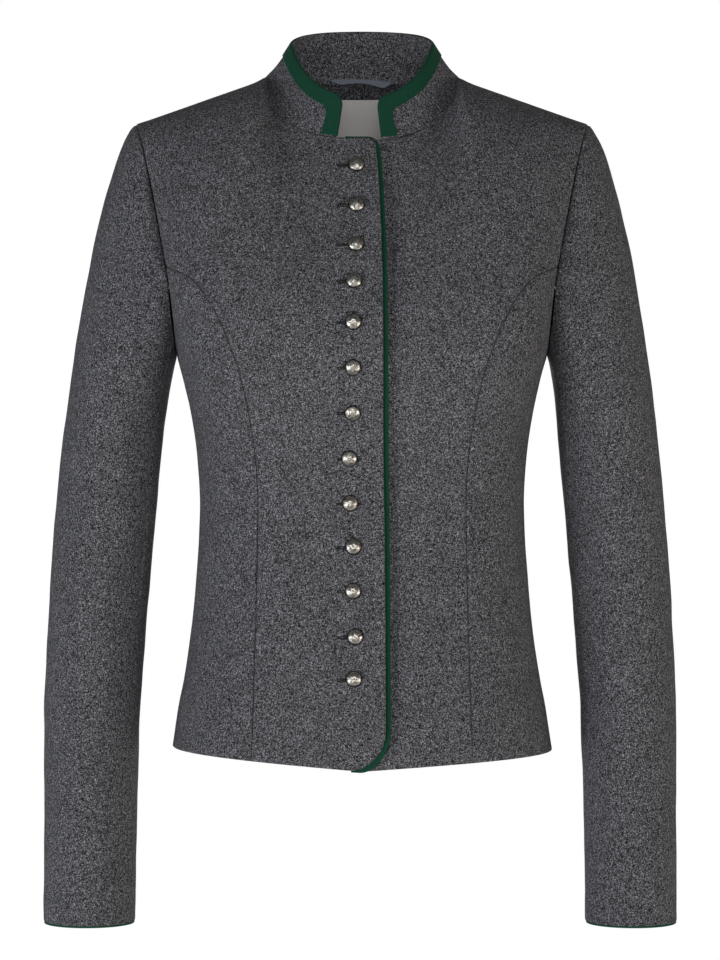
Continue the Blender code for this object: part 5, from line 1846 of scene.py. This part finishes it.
@dataclass(frozen=True)
class HeatherLoden(Finish):
    """Milled wool loden, mid grey, heathered with darker and lighter fibres."""

    tint: str = "f4f4ff"
    middle: float = 0.325
    contrast: float = 1.34
    grain: float = 0.95  # mm; wool fibres are far finer, but blots any finer wouldn't show
    cloud: float = 22.0

    def paint(self, n: Nodes) -> None:
        """Grey blots under broad faint clouds, with a little sheen."""
        place = n.place()
        # Fibres of several greys, felted into blots that the eye takes for heather.
        blots = n.noise(place, self.grain, 1.5, 0.6)
        clumps = n.noise(place, self.grain * 2.4, 1.0, 0.5)
        mixed = n.maths("MULTIPLY_ADD", blots, 0.8, n.maths("MULTIPLY", clumps, 0.2))
        # The greys are evenly spread to the eye, so they are set as sRGB values and then made linear.
        reach = self.contrast * self.middle
        grey = n.spread(mixed, 0.25, 0.75, self.middle - reach, self.middle + reach)
        wool = n.mix(1.0, linear(self.tint), n.maths("POWER", grey, 2.2), "MULTIPLY")
        # Broad faint clouds of the dye lot.
        cloud = n.noise(place, self.cloud, 2.0, 0.5)
        wool = n.mix(1.0, wool, n.spread(cloud, 0.3, 0.7, 0.93, 1.07), "MULTIPLY")
        n.set(Base_Color=wool, Roughness=0.93, Specular_IOR_Level=0.25)
        # The milled nap catches light at grazing angles.
        n.set(Sheen_Weight=0.03, Sheen_Roughness=0.5, Sheen_Tint=(0.85, 0.87, 0.92, 1.0))
        n.bump(mixed, 0.5, 0.07)


@dataclass(frozen=True)
class GreenFelt(Finish):
    """Thick fir-green wool felt of the band and the pipings."""

    base: str = "08402d"
    hollow: str = "053022"
    raised: str = "0e4c38"

    def paint(self, n: Nodes) -> None:
        """Matted fibres, a little lighter where they stand up."""
        nap = n.noise(n.place(), 1.1, 3.0, 0.6)
        felt = n.mix(n.spread(nap, 0.3, 0.7, 0.0, 1.0), linear(self.hollow), linear(self.raised))
        n.set(Base_Color=n.mix(0.4, felt, linear(self.base)), Roughness=0.9, Specular_IOR_Level=0.25)
        # A faint bloom of loose wool along the edges.
        n.set(Sheen_Weight=0.06, Sheen_Roughness=0.5, Sheen_Tint=(0.6, 0.9, 0.75, 1.0))
        n.bump(nap, 0.5, 0.06)


@dataclass(frozen=True)
class WovenLabel(Finish):
    """Light grey woven satin, left blank."""

    base: str = "f0ece8"
    shade: str = "e0ddda"

    def paint(self, n: Nodes) -> None:
        """Fine warp lines, about two to a millimetre."""
        lines = n.lines("X", 640.0, wobble=0.4)
        n.set(Base_Color=n.mix(n.maths("MULTIPLY", lines, 0.25), linear(self.base), linear(self.shade)))
        n.set(Roughness=0.55, Sheen_Weight=0.1, Sheen_Roughness=0.3)
        n.bump(lines, 0.3, 0.03)


@dataclass(frozen=True)
class LoopBraid(Finish):
    """Slate-grey grosgrain ribbon of the hanger loop."""

    base: str = "8d94a2"
    groove: str = "747b88"

    def paint(self, n: Nodes) -> None:
        """Ribs across the ribbon, about one to a millimetre."""
        ribs = n.lines("Y", 320.0)
        n.set(Base_Color=n.mix(ribs, linear(self.groove), linear(self.base)), Roughness=0.7)
        n.bump(ribs, 0.5, 0.08)


@dataclass(frozen=True)
class OldSilver(Finish):
    """Cast white metal with a silver finish, dark with patina in the hollows of its relief, and with painted
    shade round its foot.
    """

    bright: str = "d0ccc4"
    dark: str = "1e1b18"

    def paint(self, n: Nodes) -> None:
        """Patina in the hollows and in the small pits of the casting, painted shade round the foot, with fine
        rubbing marks.
        """
        place = n.place()
        hollow = n.add("ShaderNodeAttribute", {"attribute_name": "hollow"}).outputs["Fac"]
        pits = n.noise(place, 1.5, 2.0, 0.6)
        # The attribute holds both the patina of the relief and the painted shade on the foot.
        patina_and_shade = n.maths("MAXIMUM", hollow, n.spread(pits, 0.46, 0.64, 0.0, 0.85))
        n.set(Base_Color=n.mix(patina_and_shade, linear(self.bright), linear(self.dark)), Metallic=1.0)
        n.set(Roughness=n.spread(n.noise(place, 0.5, 2.0, 0.6), 0.3, 0.7, 0.28, 0.44))
        n.bump(pits, 0.6, 0.3)


@dataclass(frozen=True)
class SewingThread(Finish):
    """Dark grey buttonhole twist, wound close."""

    base: str = "17171a"
    groove: str = "060607"

    def paint(self, n: Nodes) -> None:
        """One stitch after another, drawn about one to a millimetre so that they show."""
        stitches = n.lines("Y", 300.0)
        n.set(Base_Color=n.mix(stitches, linear(self.groove), linear(self.base)), Roughness=0.85)
        n.bump(stitches, 0.8, 0.15)


@dataclass(frozen=True)
class PaleFloor(Finish):
    """Matt off-white studio floor."""

    base: str = "e8e8e6"

    def paint(self, n: Nodes) -> None:
        """A plain matt paint."""
        n.set(Base_Color=linear(self.base), Roughness=0.9)


# ---- the jacket
@dataclass
class Jacket:
    """All the pieces and their finishes."""

    hem_corner: float = 30.0
    top_corner: float = 6.5
    underlap_edge: float = -30.0
    #  how much further out than its rings each sleeve hangs
    sleeve_spread: tuple[tuple[str, float, float], ...] = (("right", -1.0, 1.5), ("left", 1.0, -1.3))
    #  how far each button is turned, in degrees
    button_turns: tuple[float, ...] = (4, 17, 31, 9, 48, 22, 55, 12, 38, 27, 3, 44, 19)
    finishes: dict[str, bpy.types.Material] = field(default_factory=dict)

    def build(self) -> None:
        """Build and dress every piece."""
        kinds = (
            HeatherLoden("loden"),
            HeatherLoden("loden_inside", middle=0.29),
            # Painted light: a lighter copy of the loden for the collar's inner face, which the lamps reach
            # less.
            HeatherLoden("collar_lining_painted_light", middle=0.4),
            GreenFelt("green_felt"),
            WovenLabel("label_weave"),
            LoopBraid("loop_braid"),
            OldSilver("old_silver"),
            SewingThread("sewing_thread"),
        )
        self.finishes = {kind.name: kind.build() for kind in kinds}
        front = self.body()
        self.sleeves()
        self.neck()
        self.fastening(front)

    def dress(self, piece: Piece, outside: str, inside: str | None = None) -> None:
        """Give a piece its materials: the outer face's, and the inside's."""
        for finish in (outside, inside or outside):
            piece.data.materials.append(self.finishes[finish])

    def body(self) -> Sheet:
        """The body's panels; returns the right front, which the fastening lies on."""
        edge, corners = Column(FRONT_EDGE), (self.hem_corner, self.top_corner)
        panels = [
            Front("front_right", -1.0, lambda h: -edge(h), CREASES["right front"], *corners),
            Front("front_left", 1.0, lambda h: self.underlap_edge + 0.0 * h, CREASES["left front"]),
            Back(CREASES["back"]),
        ]
        for which, line, turn, reach in (
            ("front", FRONT_PRINCESS, FORM.armhole_turn, FRONT_REACH),
            ("back", BACK_PRINCESS, FORM.back_armhole_turn, BACK_REACH),
        ):
            for name, side in (("right", -1.0), ("left", 1.0)):
                sizes = (side, line, turn, reach, CREASES[f"side {which}"])
                panels.append(SidePanel(f"side_{which}_{name}", *sizes))
        sheets = [panel.sheet() for panel in panels]
        for sheet in sheets:
            piece = sheet.build("loden")
            self.dress(piece, "loden", "loden_inside")
            trims = []
            if sheet.name == "front_right":
                trims.append(Pipings().front(sheet))
                self.dress(trims[0], "green_felt")
            sheet.declare(piece, trims)
        return sheets[0]

    def sleeves(self) -> None:
        """The sleeves and their cuff pipings."""
        for name, side, spread in self.sleeve_spread:
            sleeve = Sleeve(side, spread, CREASES[f"{name} sleeve"])
            first, last = sleeve.under
            halves = (("under_sleeve", first, last), ("upper_sleeve", last, first + sleeve.count))
            for piece, start, end in halves:
                sheet = sleeve.sheet(f"{piece}_{name}", start, end)
                cloth, trims = sheet.build("loden"), []
                self.dress(cloth, "loden", "loden_inside")
                if piece == "upper_sleeve":
                    trims.append(Pipings().cuff(sleeve, name))
                    self.dress(trims[0], "green_felt")
                sheet.declare(cloth, trims)

    def neck(self) -> None:
        """The collar, its band and what lies inside the back neck."""
        collar, inside = Collar(), BackNeck()
        ribbon = inside.loop_sheet().build("loop_braid")
        self.dress(ribbon, "loop_braid")
        for sheet, finish, trims in (
            (collar.sheet(), "loden", []),
            (collar.band(), "green_felt", []),
            (inside.facing_sheet(), "loden_inside", [ribbon]),
            (inside.label_sheet(), "label_weave", []),
        ):
            piece = sheet.build(finish)
            # The collar is faced inside with the same loden, painted lighter to make up for the shade inside
            # the collar.
            self.dress(piece, finish, "collar_lining_painted_light" if finish == "loden" else finish)
            sheet.declare(piece, trims)

    def fastening(self, front: Sheet) -> None:
        """The buttons and their buttonholes.

        Args:
            front: The right front, which they lie on.
        """
        outer, _ = front.layers()
        for number, ((z, x), turn) in enumerate(zip(BUTTONS, self.button_turns), start=1):
            spot = spot_on(outer, front.ways, x, z)
            self.dress(Button().build(f"button_{number:02d}", spot, turn), "old_silver")
            hole = Buttonhole()
            spot = spot_on(outer, front.ways, hole.centre, z - hole.below)
            self.dress(hole.build(f"buttonhole_{number:02d}", spot), "sewing_thread")


# ---- studio
@dataclass
class Studio:
    """A pale floor, soft lights and the camera."""

    floor_height: float = -1.35
    floor_size: float = 6.0
    lens: float = 146.4
    sensor: float = 36.0
    clip: tuple[float, float] = (0.05, 30.0)
    distance: float = 3.2
    camera_height: float = -0.3296
    camera_side: float = -0.0016
    ambient: float = 0.1
    aim: tuple[float, float, float] = (0.0, 0.0, -0.35)
    #  name  place  size  watts  colour
    lamps: tuple[tuple, ...] = (
        ("left softbox", (-2.0, -1.5, -1.0), 1.3, 38.0, "fafcff"),
        ("right softbox", (2.1, -1.3, -1.0), 1.3, 26.0, "fff6ea"),
        ("front softbox", (0.2, -3.6, -1.0), 1.6, 5.0, "ffffff"),
        ("high softbox", (0.1, -3.5, 0.3), 1.4, 30.0, "ffffff"),
        ("back softbox", (0.0, 2.6, 1.4), 2.0, 5.0, "ffffff"),
        ("rear softbox", (0.0, 3.2, -0.2), 1.2, 46.0, "ffffff"),
    )

    def build(self) -> None:
        """Set up the studio."""
        bpy.ops.mesh.primitive_plane_add(size=self.floor_size, location=(0.0, 0.0, self.floor_height))
        floor = bpy.context.object
        floor.name = "floor"
        floor.data.materials.append(PaleFloor("pale_floor").build())
        world = bpy.context.scene.world or bpy.data.worlds.new("studio")
        bpy.context.scene.world = world
        world.use_nodes = True
        tree = world.node_tree
        backdrop = tree.nodes["Background"]
        backdrop.inputs["Color"].default_value = (1.0, 1.0, 1.0, 1.0)
        # The backdrop shows white, and lights the jacket less than the lamps do.
        seen = tree.nodes.new("ShaderNodeLightPath").outputs["Is Camera Ray"]
        strength = tree.nodes.new("ShaderNodeMapRange")
        tree.links.new(seen, strength.inputs["Value"])
        strength.inputs["To Min"].default_value = self.ambient
        tree.links.new(strength.outputs["Result"], backdrop.inputs["Strength"])
        for name, place, size, watts, colour in self.lamps:
            light = bpy.data.lights.new(name, "AREA")
            light.size, light.energy = size, watts
            light.color = linear(colour)[:3]
            lamp = bpy.data.objects.new(name, light)
            lamp.location = place
            lamp.rotation_euler = (Vector(self.aim) - Vector(place)).to_track_quat("-Z", "Y").to_euler()
            bpy.context.scene.collection.objects.link(lamp)
        data = bpy.data.cameras.new("camera")
        data.lens, data.sensor_width = self.lens, self.sensor
        data.clip_start, data.clip_end = self.clip
        camera = bpy.data.objects.new("camera", data)
        camera.location = (self.camera_side, -self.distance, self.camera_height)
        camera.rotation_euler = (math.pi / 2, 0.0, 0.0)
        bpy.context.scene.collection.objects.link(camera)
        bpy.context.scene.camera = camera
        bpy.context.scene.view_settings.view_transform = "Standard"


def main() -> None:
    """Build the jacket and the studio."""
    logging.basicConfig(level=logging.INFO, format="%(name)s %(message)s")
    Jacket().build()
    Studio().build()


if __name__ == "__main__":
    main()
